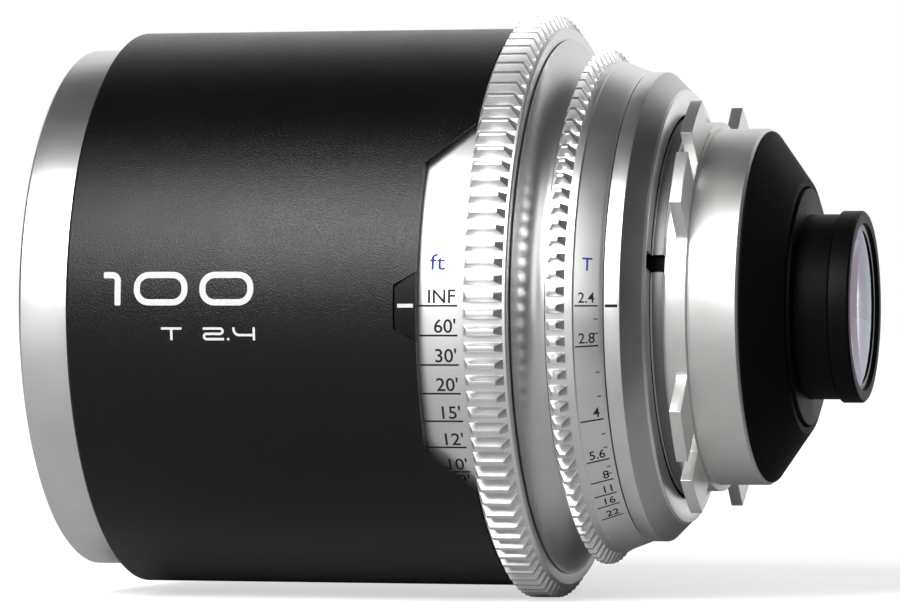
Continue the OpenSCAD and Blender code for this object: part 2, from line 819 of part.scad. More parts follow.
// Geared iris ring with its sloping stop scale
module iris_ring() {
    bore = core_rear_r + run;
    groove = iris_stop_pin_r + free;
    stop_margin = arc_deg(groove + touch, iris_stop_r);
    color(silver) difference() {
        union() {
            teeth_around(iris_teeth, iris_pitch_r, z_iris_teeth, iris_face, iris_phase);
            turned([[bore, z_iris], [iris_rear_r, z_iris], [index_d / 2 + lip, z_stop],
                    [iris_root - lip, z_stop_front], [iris_root, z_stop_front + lip],
                    [iris_root, z_iris_front], [bore, z_iris_front]]);
        }
        radial_pin(drive_pin_r + seat, core_rear_r - over, iris_root - drive_cover, drive_angle, z_drive);
        ring_slice(iris_stop_r - groove, iris_stop_r + groove, z_iris - over, z_iris + stop_groove,
                   iris_stop_angle - iris_turn - stop_margin, iris_stop_angle + stop_margin);
    }
}

module iris_drive_pin() color(steel)
    radial_pin(drive_pin_r, chamber_r - drive_in, iris_root - drive_cover - touch, drive_angle, z_drive);

module iris_stop_pin() color(steel)
    axial_pin(iris_stop_pin_r, iris_stop_r, iris_stop_angle, z_index - stop_pin_in,
              z_iris + stop_groove - free);

// Focus ring

module focus_gear_ring() {
    bore = cam_r + seat;
    groove = stop_pin_r + free;
    stop_margin = arc_deg(groove + touch, focus_stop_r);
    color(silver) difference() {
        union() {
            teeth_around(focus_teeth, focus_pitch_r, z_focus_teeth, focus_face, focus_phase);
            turned([[bore, z_focus], [focus_root - lip, z_focus], [focus_root, z_focus + lip],
                    [focus_root, z_focus_front], [collar_r, z_focus_front], [collar_r, z_band_front],
                    [collar_in, z_band_front], [collar_in, z_collar_web], [bore, z_collar_web]]);
        }
        ring_slice(focus_stop_r - groove, focus_stop_r + groove, z_focus - over, z_focus + stop_groove,
                   focus_stop_angle - focus_turn - stop_margin, focus_stop_angle + stop_margin);
        around(ring_screws_n, ring_screws_first)
            radial_pin(set_screw_r + seat, cam_r - over, collar_r + over, 0, z_ring_screws);
    }
}

module focus_scale_band() color(silver)
    ring(collar_r + seat, band_r, z_focus_front + seat, z_band_front);

module focus_ring_screws() color(steel) around(ring_screws_n, ring_screws_first)
    set_screw(core_r + ring_screw_clear, collar_r - touch, 0, z_ring_screws);

module focus_stop_pin() color(steel)
    axial_pin(stop_pin_r, focus_stop_r, focus_stop_angle, z_cove_front - stop_pin_in,
              z_focus + stop_groove - free);

// Rotating tube whose helical slots push the rollers along the straight slots
module cam_tube() {
    mid_r = (cam_in + cam_r) / 2;
    step = focus_turn / cam_steps;
    lead = atan(focus_travel / (focus_turn * PI / 180 * mid_r));
    length = mid_r * step * PI / 180 * 1.2;
    deep = cam_r - cam_in + 2 * over;
    rise = focus_travel / cam_steps;
    color(brass) difference() {
        ring(cam_in, cam_r, z_cam, z_cam_front);
        around(rollers) {
            for (share = [0, 1])
                radial_pin(slot_half, cam_in - over, cam_r + over, -share * focus_turn,
                           z_roller + share * focus_travel);
            for (i = [0:cam_steps - 1])
                rotate(-(i + 0.5) * step) translate([mid_r, 0, z_roller + (i + 0.5) * rise])
                    rotate([-lead, 0, 0]) cube([deep, length, 2 * slot_half], center = true);
        }
        around(ring_screws_n, ring_screws_first)
            radial_pin(set_screw_r + seat, cam_in - over, cam_r + over, 0, z_ring_screws);
    }
}

// Sliding focusing group

module focus_cell() {
    z_seat1 = front_glass_form[1] - seat;
    z_seat2 = second_glass_form[1] - sag(second_glass_form[3], second_glass_form[0]) - seat;
    z_seat3 = third_glass_form[2] + sag(third_glass_form[4], third_glass_form[0]) + seat;
    color(black) difference() {
        turned([[third_seat_r, z_cell], [cell_nose_r, z_cell], [cell_nose_r, z_cell_body],
                [cell_r, z_cell_body], [cell_r, z_cell_front], [front_seat_r, z_cell_front],
                [front_seat_r, z_seat1], [second_seat_r, z_seat1], [second_seat_r, z_seat2],
                [second_seat_r - glass_ring, z_seat2], [second_seat_r - glass_ring, z_cell_body + taper_up],
                [third_seat_r - glass_ring, z_cell_body - taper_down], [third_seat_r - glass_ring, z_seat3],
                [third_seat_r, z_seat3]]);
        around(rollers)
            radial_pin(roller_screw_r + seat, cell_r - roller_thread - touch, cell_r + over, 0, z_roller);
    }
}

module front_glass() color(clear) element(front_glass_form);
module second_glass() color(clear) element(second_glass_form);
module third_glass() color(clear) element(third_glass_form);

module front_retaining_ring() {
    r_in = front_glass_form[0] - glass_ring;
    r_out = front_seat_r - seat;
    z0 = front_glass_form[2] - sag(front_glass_form[4], r_in) + touch;
    z1 = z_cell_front - lip;
    color(black) difference() {
        turned([[r_in, z0], [r_out, z0], [r_out, z1], [r_in + glass_ring / 2, z1]]);
        around(2, 45) translate([r_in - over, -key_slot / 2, z1 - key_slot])
            cube([glass_ring + over, key_slot, 2 * key_slot]);
    }
}

module glass_spacer() {
    r_in = second_glass_form[0] - glass_ring;
    z0 = second_glass_form[2] - sag(second_glass_form[4], r_in) + touch;
    color(black) ring(r_in, second_seat_r - seat, z0, front_glass_form[1] - seat);
}

module cam_rollers() color(brass) around(rollers) difference() {
    radial_pin(roller_r, cell_r + 2 * touch, roller_top, 0, z_roller);
    radial_pin(roller_screw_r + seat, cell_r - over, cam_r + over, 0, z_roller);
}

module roller_screws() color(steel) around(rollers) difference() {
    union() {
        radial_pin(roller_screw_r, cell_r - roller_thread, cam_r - roller_head_t / 2, 0, z_roller);
        radial_pin(roller_head_r, roller_top + seat, cam_r - 2 * touch, 0, z_roller);
    }
    translate([cam_r - roller_head_t / 2, -driver_slot / 2, z_roller - roller_head_r])
        cube([over, driver_slot, 2 * roller_head_r]);
}

lay() front_ring();
lay() front_ring_screws();
lay() front_baffle();
lay() outer_barrel();
lay() index_plate();
lay() core_tube();
lay() cove_ring();
lay() cove_ring_screws();
lay() index_ring();
lay() index_ring_screws();
lay() mount_shim();
lay() mount_flange();
lay() mount_screws();
lay() rear_baffle();
lay() rear_cell();
lay() rear_bezel();
lay() rear_glass_outer();
lay() rear_glass_middle();
lay() rear_glass_inner();
lay() rear_spacer();
lay() rear_middle_spacer();
lay() rear_retaining_ring();
lay() iris_base();
lay() iris_retaining_ring();
lay() focus_stop_pin();
lay() iris_stop_pin();
lay() focus_gear_ring();
lay() focus_scale_band();
lay() cam_tube();
lay() focus_ring_screws();
lay() focus_cell();
lay() front_glass();
lay() second_glass();
lay() third_glass();
lay() front_retaining_ring();
lay() glass_spacer();
lay() cam_rollers();
lay() roller_screws();
lay() iris_ring();
lay() iris_actuator();
lay() iris_drive_pin();
for (i = [1:blades])
    lay() iris_blade(i - 1);
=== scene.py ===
"""Cinema prime lens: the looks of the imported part, its stage and its camera."""

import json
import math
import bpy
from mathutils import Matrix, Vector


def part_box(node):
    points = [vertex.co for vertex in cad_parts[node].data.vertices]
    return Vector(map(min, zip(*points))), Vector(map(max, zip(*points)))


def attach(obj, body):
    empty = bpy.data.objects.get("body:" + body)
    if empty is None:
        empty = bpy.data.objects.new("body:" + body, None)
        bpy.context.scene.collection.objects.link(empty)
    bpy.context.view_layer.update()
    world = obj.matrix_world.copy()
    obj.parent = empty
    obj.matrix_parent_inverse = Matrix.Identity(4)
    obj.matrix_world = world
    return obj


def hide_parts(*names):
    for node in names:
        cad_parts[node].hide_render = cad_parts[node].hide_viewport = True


bl_info = {
    "name": "Cinema prime lens",
    "version": (1, 0, 0),
    "blender": (4, 5, 0),
    "location": "3D View > Sidebar > Lens",
    "description": "Models the visible pieces of a cinema prime lens around its packed frame",
    "category": "Object",
}

import bpy
import bmesh
from mathutils import Vector

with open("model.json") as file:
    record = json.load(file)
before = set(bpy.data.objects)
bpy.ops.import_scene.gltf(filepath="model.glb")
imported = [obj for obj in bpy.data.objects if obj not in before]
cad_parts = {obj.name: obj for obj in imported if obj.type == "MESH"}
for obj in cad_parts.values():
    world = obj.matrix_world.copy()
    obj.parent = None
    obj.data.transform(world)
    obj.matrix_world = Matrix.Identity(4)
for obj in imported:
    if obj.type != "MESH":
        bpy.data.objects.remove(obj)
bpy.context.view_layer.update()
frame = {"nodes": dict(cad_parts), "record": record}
NODES = frame["nodes"]
MM = 0.001


def reach(node):
    """Rear station, front station and outer radius of a turned node, in millimetres."""
    low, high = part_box(node)
    return -high.x / MM, -low.x / MM, high.z / MM


# Stations in millimetres along the axis, from the mount's seat to the front
BARREL_REAR, BARREL_FRONT, BARREL_R = reach("outer_barrel")
FRONT_REAR, FRONT_END, FRONT_R = reach("front_ring")
BAND_REAR, BAND_FRONT, BAND_R = reach("focus_scale_band")
FOCUS_REAR, FOCUS_END, FOCUS_TIP_R = reach("focus_gear_ring")
COVE_REAR, COVE_FRONT, COVE_R = reach("cove_ring")
IRIS_REAR, IRIS_FRONT, IRIS_TIP_R = reach("iris_ring")
INDEX_REAR, INDEX_FRONT, INDEX_R = reach("index_ring")
THROAT_REAR, COLLAR_FRONT, _ = reach("mount_flange")
BAFFLE_REAR, BAFFLE_FRONT, BAFFLE_R = reach("rear_baffle")
BEZEL_REAR, BEZEL_FRONT, BEZEL_R = reach("rear_bezel")
WINDOW_FRONT = BARREL_REAR + 6.8
TEETH_DEPTH = 1.8
FOCUS_ROOT_R = FOCUS_TIP_R - TEETH_DEPTH
IRIS_ROOT_R = IRIS_TIP_R - TEETH_DEPTH

# Both ends of the stop scale's slope
CONE_REAR, CONE_REAR_R = IRIS_REAR + 0.55, INDEX_R + 0.2
CONE_FRONT, CONE_FRONT_R = IRIS_REAR + 3.95, IRIS_ROOT_R - 0.2

# Sizes that several pieces share, in millimetres
SPIGOT_R = 38.9
SCREW_HOLE_R = 0.84
MOUNT_SCREWS_R = 23.2
WEB_IN_R = 21.0
NOTCH_WIDE = 2.6
PLATE_LOW = 0.01

# Angles in degrees, up from the near side
LINE_UP = 0.22
NOTCH_UP = 12.7
FAR_SCREWS = (120, 180, 240)
QUARTERS = (45, 135, 225, 315)


def colour_setting(name, description, default):
    return bpy.props.FloatVectorProperty(
        name=name, description=description, subtype="COLOR", size=3, default=default, min=0, max=1)


class LensLooks(bpy.types.PropertyGroup):
    """Sizes and colours that a user of the lens would change."""

    steps: bpy.props.IntProperty(
        name="Steps around", description="Faces around a turned piece", default=256, min=64, max=512)
    round_share: bpy.props.FloatProperty(
        name="Edge rounding", description="Share of each turned edge's own radius", subtype="FACTOR",
        default=1.0, min=0.1, max=1.0)
    ink_mm: bpy.props.FloatProperty(
        name="Ink thickness", description="How far filled markings stand, in millimetres", default=0.02,
        min=0.005, max=0.05)
    silver: colour_setting("Silver", "Colour of the anodised rings", (0.86, 0.86, 0.855))
    steel: colour_setting("Mount steel", "Colour of the turned mount", (0.84, 0.835, 0.825))
    black: colour_setting("Barrel black", "Colour of the grained barrel", (0.0022, 0.0022, 0.0023))
    blue: colour_setting("Blue ink", "Colour of the unit marks", (0.03, 0.05, 0.22))
    focus_teeth: bpy.props.IntProperty(
        name="Focus teeth", description="Teeth around the focus ring", default=109, min=60, max=200)
    iris_teeth: bpy.props.IntProperty(
        name="Iris teeth", description="Teeth around the iris ring", default=96, min=60, max=200)


def looks():
    return bpy.context.scene.lens_looks


# Finishes

# Most of a noise's values lie between these
NOISE_LOW, NOISE_HIGH = 0.25, 0.75


def new_material(name):
    material = bpy.data.materials.new(name)
    material.use_nodes = True
    tree = material.node_tree
    shader = next(n for n in tree.nodes if n.type == "BSDF_PRINCIPLED")
    return material, tree, shader.inputs


def put(tree, socket, value):
    """Links an output to a socket, or sets a constant on it."""
    if isinstance(value, bpy.types.NodeSocket):
        tree.links.new(value, socket)
    else:
        socket.default_value = value


def add_node(tree, kind, inputs=None, **settings):
    """Adds a node, sets it, fills its inputs by name or number and gives its outputs."""
    made = tree.nodes.new(kind)
    for key, value in settings.items():
        setattr(made, key, value)
    for key, value in (inputs or {}).items():
        put(tree, made.inputs[key], value)
    return made.outputs


def place(tree, kind="Object"):
    return add_node(tree, "ShaderNodeTexCoord")[kind]


def axes(tree, vector):
    """The three parts of a vector."""
    return add_node(tree, "ShaderNodeSeparateXYZ", {"Vector": vector})


def fine_grain(tree, scale, detail, stretch=(1, 1, 1)):
    """Noise on Object coordinates, stretched along the axes."""
    spot = add_node(tree, "ShaderNodeMapping", {"Vector": place(tree), "Scale": stretch})["Vector"]
    return add_node(tree, "ShaderNodeTexNoise", {"Vector": spot, "Scale": scale, "Detail": detail})["Fac"]


def ranged(tree, value, low, high, start, end, ease="LINEAR"):
    """Maps a value from one range onto another."""
    numbers = {"Value": value, "From Min": low, "From Max": high, "To Min": start, "To Max": end}
    return add_node(tree, "ShaderNodeMapRange", numbers, interpolation_type=ease)["Result"]


def eased(tree, value, low, high, start=0.0, end=1.0):
    """Maps a value from one range onto another with soft ends."""
    return ranged(tree, value, low, high, start, end, "SMOOTHSTEP")


def sums(tree, operation, *values):
    """One step of arithmetic on outputs or plain numbers."""
    return add_node(tree, "ShaderNodeMath", dict(enumerate(values)), operation=operation)[0]


def tint(tree, value, dark, light):
    """Blends two colours by a noise."""
    ramp = tree.nodes.new("ShaderNodeValToRGB")
    ends = ((NOISE_LOW, dark), (NOISE_HIGH, light))
    for stop, (position, colour) in zip(ramp.color_ramp.elements, ends):
        stop.position = position
        stop.color = (*colour, 1)
    put(tree, ramp.inputs["Fac"], value)
    return ramp.outputs["Color"]


def bump(tree, sockets, value, strength, distance):
    numbers = {"Height": value, "Strength": strength, "Distance": distance}
    put(tree, sockets["Normal"], add_node(tree, "ShaderNodeBump", numbers)["Normal"])


def shade(colour, factor):
    return tuple(min(1.0, c * factor) for c in colour)


def metal(name, colour, low, high, lines, line_depth):
    """Turned metal: fine lines around the axis, a soft mottle and an uneven polish."""
    material, tree, sockets = new_material(name)
    turning = fine_grain(tree, lines, 2.0, (1, 0.004, 0.004))
    cloud = fine_grain(tree, 90, 4.0)
    put(tree, sockets["Base Color"], tint(tree, cloud, shade(colour, 0.94), shade(colour, 1.06)))
    put(tree, sockets["Roughness"], ranged(tree, cloud, NOISE_LOW, NOISE_HIGH, low, high))
    put(tree, sockets["Metallic"], 1.0)
    bump(tree, sockets, turning, line_depth, 0.00002)
    return material


def coating(name, colour, low, high, grain, depth, specular):
    """Black coating: fine grain that breaks up its sheen."""
    material, tree, sockets = new_material(name)
    speck = fine_grain(tree, grain, 0.6)
    cloud = fine_grain(tree, 120, 2.0)
    put(tree, sockets["Base Color"], tint(tree, speck, shade(colour, 0.75), shade(colour, 1.25)))
    put(tree, sockets["Roughness"], ranged(tree, cloud, NOISE_LOW, NOISE_HIGH, low, high))
    put(tree, sockets["Specular IOR Level"], specular)
    bump(tree, sockets, speck, depth, 0.0001)
    return material


def glass(name, film, film_far=None):
    """Polished glass with a thin coating that tints its reflections, evenly or from near to far."""
    material, tree, sockets = new_material(name)
    clear = (0.93, 0.97, 0.98)
    put(tree, sockets["Base Color"], tint(tree, fine_grain(tree, 40, 1.0), shade(clear, 0.97), clear))
    for key, value in (("Roughness", 0.0), ("IOR", 1.6), ("Transmission Weight", 1.0),
                       ("Thin Film Thickness", film), ("Thin Film IOR", 1.38)):
        put(tree, sockets[key], value)
    if film_far:
        across = axes(tree, place(tree))["Y"]
        put(tree, sockets["Thin Film Thickness"], ranged(tree, across, -0.009, 0.009, film, film_far))
    return material


def ink(name, colour):
    """Filled marking: paint with a slightly uneven surface."""
    material, tree, sockets = new_material(name)
    speck = fine_grain(tree, 6000, 2.0)
    put(tree, sockets["Base Color"], tint(tree, speck, shade(colour, 0.88), shade(colour, 1.06)))
    put(tree, sockets["Roughness"], 0.6)
    put(tree, sockets["Specular IOR Level"], 0.12)
    return material


FINISHES = {}


def make_finishes():
    p = looks()
    FINISHES.update({
        "silver_anodised": metal("satin silver anodise", p.silver, 0.30, 0.38, 9000, 0.15),
        "silver_blasted": metal("blasted silver scale", p.silver, 0.40, 0.46, 14000, 0.1),
        "silver_cut": metal("cut silver teeth", p.silver, 0.38, 0.44, 16000, 0.06),
        # The cove's silver is darkened to 0.78 of the rest: painted shade in its hollow
        "silver_cove": metal("blasted silver cove", shade(p.silver, 0.78), 0.30, 0.36, 14000, 0.1),
        # The slope's silver is darkened to 0.62 of the rest: painted shade for its dark reflections
        "silver_slope": metal("shaded silver slope", shade(p.silver, 0.62), 0.30, 0.38, 9000, 0.15),
        "mount_steel": metal("turned mount steel", p.steel, 0.38, 0.46, 5000, 0.5),
        # Dark grey collar metal: painted shade between the collar and the ears
        "collar_painted_shade": metal("blasted mount collar", (0.2, 0.2, 0.2), 0.44, 0.52, 9000, 0.3),
        "screw_steel": metal("screw steel", (0.32, 0.32, 0.33), 0.3, 0.45, 9000, 0.3),
        "brass": metal("satin brass", (0.72, 0.55, 0.25), 0.3, 0.42, 6000, 0.3),
        "barrel_black": coating("grained barrel black", p.black, 0.28, 0.33, 6400, 0.5, 0.32),
        "plate_black": coating("satin plate black", shade(p.black, 0.9), 0.38, 0.44, 5000, 0.3, 0.2),
        "baffle_black": coating("matte baffle black", (0.002, 0.002, 0.002), 0.55, 0.65, 5000, 0.3, 0.08),
        "cell_black": coating("satin cell black", (0.002, 0.002, 0.0022), 0.42, 0.5, 5000, 0.3, 0.08),
        "blade_black": coating("blackened blade", (0.01, 0.01, 0.011), 0.42, 0.5, 9000, 0.02, 0.3),
        "coated_glass": glass("coated glass", 330.0),
        "rear_glass": glass("rear coated glass", 400.0, 475.0),
        "ground_edge": ink("ground glass edge", (0.7, 0.71, 0.72)),
        "ink_black": ink("black ink", (0.02, 0.02, 0.021)),
        "ink_white": ink("white ink", (0.64, 0.64, 0.63)),
        "ink_blue": ink("blue ink", p.blue),
    })


def dress(obj, finish):
    obj.data.materials.clear()
    obj.data.materials.append(FINISHES[finish])


def refinish(obj, finish, test):
    """Gives the faces that pass a test, by face and by radius in millimetres, a finish of their own."""
    obj.data.materials.append(FINISHES[finish])
    for face in obj.data.polygons:
        if test(face, math.hypot(face.center.y, face.center.z) / MM):
            face.material_index = len(obj.data.materials) - 1


# Modelling by hand: a start, then edit-mode work

def to_object():
    bpy.ops.object.mode_set(mode="OBJECT")


def deselect():
    if bpy.context.object and bpy.context.object.mode != "OBJECT":
        to_object()
    bpy.ops.object.select_all(action="DESELECT")


def only(obj):
    deselect()
    obj.select_set(True)
    bpy.context.view_layer.objects.active = obj


def edit(obj, mode="VERT"):
    only(obj)
    bpy.ops.object.mode_set(mode="EDIT")
    bpy.ops.mesh.select_mode(type=mode)


def leave(obj, angle=38):
    to_object()
    only(obj)
    bpy.ops.object.shade_smooth_by_angle(angle=math.radians(angle))


def select_all():
    bpy.ops.mesh.select_all(action="SELECT")


def extrude(*step):
    """Extrudes what is selected by a step in millimetres."""
    bpy.ops.mesh.extrude_region_move(TRANSFORM_OT_translate={"value": [c * MM for c in step]})


def clean():
    """Merges doubles and turns every face outwards."""
    select_all()
    bpy.ops.mesh.remove_doubles(threshold=1e-7)
    bpy.ops.mesh.normals_make_consistent(inside=False)


def pick(obj, kind, test):
    """Selects the verts, edges or faces that pass a test, by number and item, and nothing else."""
    mesh = bmesh.from_edit_mesh(obj.data)
    for i, item in enumerate(getattr(mesh, kind)):
        item.select = test(i, item)
    mesh.select_flush_mode()


def begin(add, name, mode="VERT", **how):
    """A primitive, by its operator, with all of it selected in edit mode."""
    deselect()
    add(**how)
    obj = bpy.context.object
    obj.name = name
    edit(obj, mode)
    select_all()
    return obj


def trace(name, points):
    """A line in edit mode: one point, extruded along a path given in millimetres."""
    obj = begin(bpy.ops.mesh.primitive_plane_add, name, size=MM)
    bpy.ops.mesh.merge(type="CENTER")
    bpy.ops.transform.translate(value=[c * MM for c in points[0]])
    for here, there in zip(points, points[1:]):
        extrude(*[b - a for a, b in zip(here, there)])
    return obj


def box(name, size, middle=(0, 0, 0)):
    """A block at its size and place in millimetres, all selected in edit mode."""
    obj = begin(bpy.ops.mesh.primitive_cube_add, name, "FACE", size=MM)
    bpy.ops.transform.resize(value=size)
    bpy.ops.transform.translate(value=[c * MM for c in middle])
    return obj


def sharp_corners(points, closed):
    """Which points of a profile turn by more than 25 degrees."""
    found = []
    count = len(points)
    for i, here in enumerate(points):
        if not closed and i in (0, count - 1):
            continue
        first = Vector(here) - Vector(points[i - 1])
        second = Vector(points[(i + 1) % count]) - Vector(here)
        if first.length > 1e-6 and second.length > 1e-6 and first.angle(second) > math.radians(25):
            found.append(i)
    return found


def round_corners(obj, chosen, radius):
    """Rounds the chosen points of a flat line, by their order along it."""
    pick(obj, "verts", lambda i, v: i in chosen)
    bpy.ops.mesh.bevel(offset=radius * MM, segments=3, affect="VERTICES", clamp_overlap=True)


def turned(name, points, radius, steps=0, closed=True):
    """A turned solid: a profile of station and radius, extruded point by point, rounded and spun."""
    p = looks()
    obj = trace(name, [(-z, 0, r) for z, r in points])
    if closed:
        pick(obj, "verts", lambda i, v: i in (0, len(points) - 1))
        bpy.ops.mesh.edge_face_add()
    corners = sharp_corners(points, closed)
    if corners and radius > 0:
        round_corners(obj, corners, radius * p.round_share)
    select_all()
    bpy.ops.mesh.spin(steps=steps or p.steps, angle=2 * math.pi, center=(0, 0, 0), axis=(1, 0, 0))
    clean()
    leave(obj)
    return obj


def cut(obj, *cutters):
    """Cuts the cutters' shapes out of a piece."""
    for cutter in cutters:
        only(obj)
        tool = obj.modifiers.new("cut", "BOOLEAN")
        tool.operation = "DIFFERENCE"
        tool.solver = "EXACT"
        tool.object = cutter
        bpy.ops.object.modifier_apply(modifier=tool.name)
        bpy.data.objects.remove(cutter)
    leave(obj)


def on_cylinder(z, radius, angle):
    """A point on a cylinder, by station, radius and angle up from the near side."""
    return Vector((-z, -radius * math.cos(angle), radius * math.sin(angle))) * MM


def rod(radius, length, turn, spot):
    deselect()
    bpy.ops.mesh.primitive_cylinder_add(
        vertices=32, radius=radius * MM, depth=length * MM, rotation=turn, location=spot)
    return bpy.context.object


def peg(radius, place_r, angle, z0, z1):
    """A round cutter along the axis."""
    spot = on_cylinder((z0 + z1) / 2, place_r, math.radians(angle))
    return rod(radius, z1 - z0, (0, math.pi / 2, 0), spot)


def spoke(r0, r1, angle, z):
    """A screw hole's cutter along a radius."""
    a = math.radians(angle)
    return rod(SCREW_HOLE_R, r1 - r0, (math.pi / 2 - a, 0, 0), on_cylinder(z, (r0 + r1) / 2, a))


def join(first, *others):
    deselect()
    for obj in (first, *others):
        obj.select_set(True)
    bpy.context.view_layer.objects.active = first
    bpy.ops.object.join()
    return first


def keep(obj, body, slot, finish, *nodes):
    """Dresses a finished piece, sets it on its body and hides the parts it stands for."""
    dress(obj, finish)
    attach(obj, body)
    if nodes:
        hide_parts(*nodes)


def toothed(name, count, root, tip, z0, z1, phase):
    """A ring of bevelled teeth: one tooth, copied around the axis."""
    root_wide, tip_wide = 1.5, 0.7
    end_bevel, edge_round = 1.0, 0.07
    sink = 0.25
    long = z1 - z0
    wide = root_wide + (root_wide - tip_wide) / (tip - root) * sink
    obj = box(name, (long, wide, tip - root + sink))
    pick(obj, "faces", lambda i, face: face.normal.z > 0.9)
    bpy.ops.transform.resize(value=((long - 2 * end_bevel) / long, tip_wide / wide, 1))
    pick(obj, "faces", lambda i, face: face.normal.z < -0.9)
    bpy.ops.mesh.delete(type="ONLY_FACE")
    bpy.ops.mesh.select_mode(type="EDGE")
    pick(obj, "edges", lambda i, line: len(line.link_faces) == 2)
    bpy.ops.mesh.bevel(offset=edge_round * MM, segments=2, affect="EDGES")
    select_all()
    bpy.ops.transform.translate(value=(-(z0 + z1) / 2 * MM, 0, (root - sink + tip) / 2 * MM))
    bpy.ops.transform.rotate(value=-math.radians(90 - phase), orient_axis="X", center_override=(0, 0, 0))
    bpy.ops.mesh.spin(steps=count - 1, dupli=True, angle=2 * math.pi * (count - 1) / count,
                      center=(0, 0, 0), axis=(1, 0, 0))
    leave(obj, 30)
    return obj


def bend(x, y, radius, start, end, count=8):
    """Points of a flat arc, by angle from the x axis."""
    angles = [math.radians(start + (end - start) * i / count) for i in range(count + 1)]
    return [(x + radius * math.cos(a), y + radius * math.sin(a)) for a in angles]


# Operators: one for each piece or group of like pieces

class LENS_OT_finishes(bpy.types.Operator):
    """Make the finishes and dress the pieces that the solids already show well"""

    bl_idname = "lens.finishes"
    bl_label = "Finishes"

    def execute(self, context):
        make_finishes()
        slots = {row["node"]: row["material_slot"] for row in frame["record"]["subparts"]}
        for name, obj in NODES.items():
            dress(obj, slots[name])
        return {"FINISHED"}


class LENS_OT_front_ring(bpy.types.Operator):
    """Front ring with its filter thread and four countersunk screws"""

    bl_idname = "lens.front_ring"
    bl_label = "Front ring"

    def execute(self, context):
        ledge = FRONT_END - 4.5
        bore = 35.5
        crest, groove = 38.0, 38.42
        pitch = 0.75
        points = [(FRONT_REAR, bore), (FRONT_REAR, SPIGOT_R), (BARREL_FRONT, SPIGOT_R),
                  (BARREL_FRONT, FRONT_R), (FRONT_END - 0.4, FRONT_R), (FRONT_END, FRONT_R - 0.4),
                  (FRONT_END, crest + 0.3), (FRONT_END - 0.3, crest)]
        for i in range(5):
            z = FRONT_END - 0.35 - i * pitch
            points += [(z - 0.05, crest), (z - 0.36, groove), (z - 0.42, groove), (z - 0.7, crest)]
        points += [(ledge, crest), (ledge, bore)]
        ring = turned("front_ring_turned", points, 0.05)
        head_r, heads_at = 1.12, 36.75
        cut(ring, *[peg(head_r, heads_at, angle, ledge - 1, ledge + 1) for angle in QUARTERS])
        keep(ring, "housing", "silver_anodised", "silver_anodised", "front_ring")
        return {"FINISHED"}


class LENS_OT_front_baffle(bpy.types.Operator):
    """Ridged light trap ahead of the front glass"""

    bl_idname = "lens.front_baffle"
    bl_label = "Front baffle"

    def execute(self, context):
        z0, z1, outside = reach("front_baffle")
        ridges = 7
        step = (z1 - z0) / ridges
        points = [(z1, outside), (z0, outside)]
        for i in range(ridges):
            z = z0 + i * step
            crest = outside - 1.6 + i * 0.12
            points += [(z, crest), (z + 0.15 * step, crest), (z + 0.5 * step, outside - 0.6),
                       (z + 0.95 * step, outside - 0.6)]
        points.append((z1, outside - 0.4))
        trap = turned("front_light_trap", points, 0.03)
        keep(trap, "housing", "baffle_black", "baffle_black", "front_baffle")
        return {"FINISHED"}


def trapezoid(name, margin, top_r, depth):
    """A curved plate ahead of the window, wider at its rear, as deep as asked."""
    rear_half = 5.0 + margin
    front_half = 2.9 + margin
    z0 = WINDOW_FRONT - margin
    z1 = WINDOW_FRONT + 3.1 + margin
    obj = begin(bpy.ops.mesh.primitive_grid_add, name, x_subdivisions=16, y_subdivisions=6, size=2)
    for v in bmesh.from_edit_mesh(obj.data).verts:
        along = (v.co.y + 1) / 2
        half = rear_half + (front_half - rear_half) * along
        across = v.co.x * half
        z = z0 + (z1 - z0) * along
        v.co = Vector((-z, -math.sqrt(top_r ** 2 - across ** 2), across)) * MM
    bmesh.update_edit_mesh(obj.data)
    select_all()
    bpy.ops.mesh.normals_make_consistent(inside=False)
    extrude(0, depth, 0)
    clean()
    to_object()
    return obj


class LENS_OT_outer_barrel(bpy.types.Operator):
    """Outer barrel with the scale window and the seat of the index plate"""

    bl_idname = "lens.outer_barrel"
    bl_label = "Outer barrel"

    @staticmethod
    def on_window(line):
        """Whether an edge is the window's outer edge."""
        if line.calc_face_angle(0) < math.radians(30):
            return False
        stations = [-v.co.x / MM for v in line.verts]
        radii = [math.hypot(v.co.y, v.co.z) / MM for v in line.verts]
        if min(radii) < BARREL_R - 0.03 or max(v.co.y for v in line.verts) > 0:
            return False
        return BARREL_REAR + 0.2 < max(stations) < WINDOW_FRONT + 0.05

    def execute(self, context):
        inside = BARREL_R - 1.3
        points = [(BARREL_REAR, inside), (BARREL_REAR, BARREL_R), (WINDOW_FRONT + 3.8, BARREL_R),
                  (WINDOW_FRONT + 20, BARREL_R), (BARREL_FRONT - 0.4, BARREL_R),
                  (BARREL_FRONT, BARREL_R - 0.4), (BARREL_FRONT, SPIGOT_R + 0.02),
                  (FRONT_REAR + 0.02, SPIGOT_R + 0.02), (FRONT_REAR + 0.02, inside)]
        barrel = turned("outer_barrel_turned", points, 0.1)
        length = WINDOW_FRONT - BARREL_REAR + 1
        tall, deep, out = 42.6, 22, 37
        window = box("window", (length, deep, tall), (-(WINDOW_FRONT - length / 2), -out, 0))
        pick(window, "faces", lambda i, face: face.normal.x > 0.9)
        spread = 5.8 * length / (WINDOW_FRONT - BARREL_REAR)
        bpy.ops.transform.resize(value=(1, 1, (tall + 2 * spread) / tall), center_override=(0, 0, 0))
        to_object()
        cut(barrel, window, trapezoid("seat", 0.3, BARREL_R + 0.6, 1.32))
        edit(barrel, "EDGE")
        pick(barrel, "edges", lambda i, line: len(line.link_faces) == 2 and self.on_window(line))
        chamfer = 0.42 * MM
        bpy.ops.mesh.bevel(offset=chamfer, segments=1, affect="EDGES", clamp_overlap=True)
        leave(barrel, 25)
        keep(barrel, "housing", "barrel_black", "barrel_black", "outer_barrel")
        return {"FINISHED"}


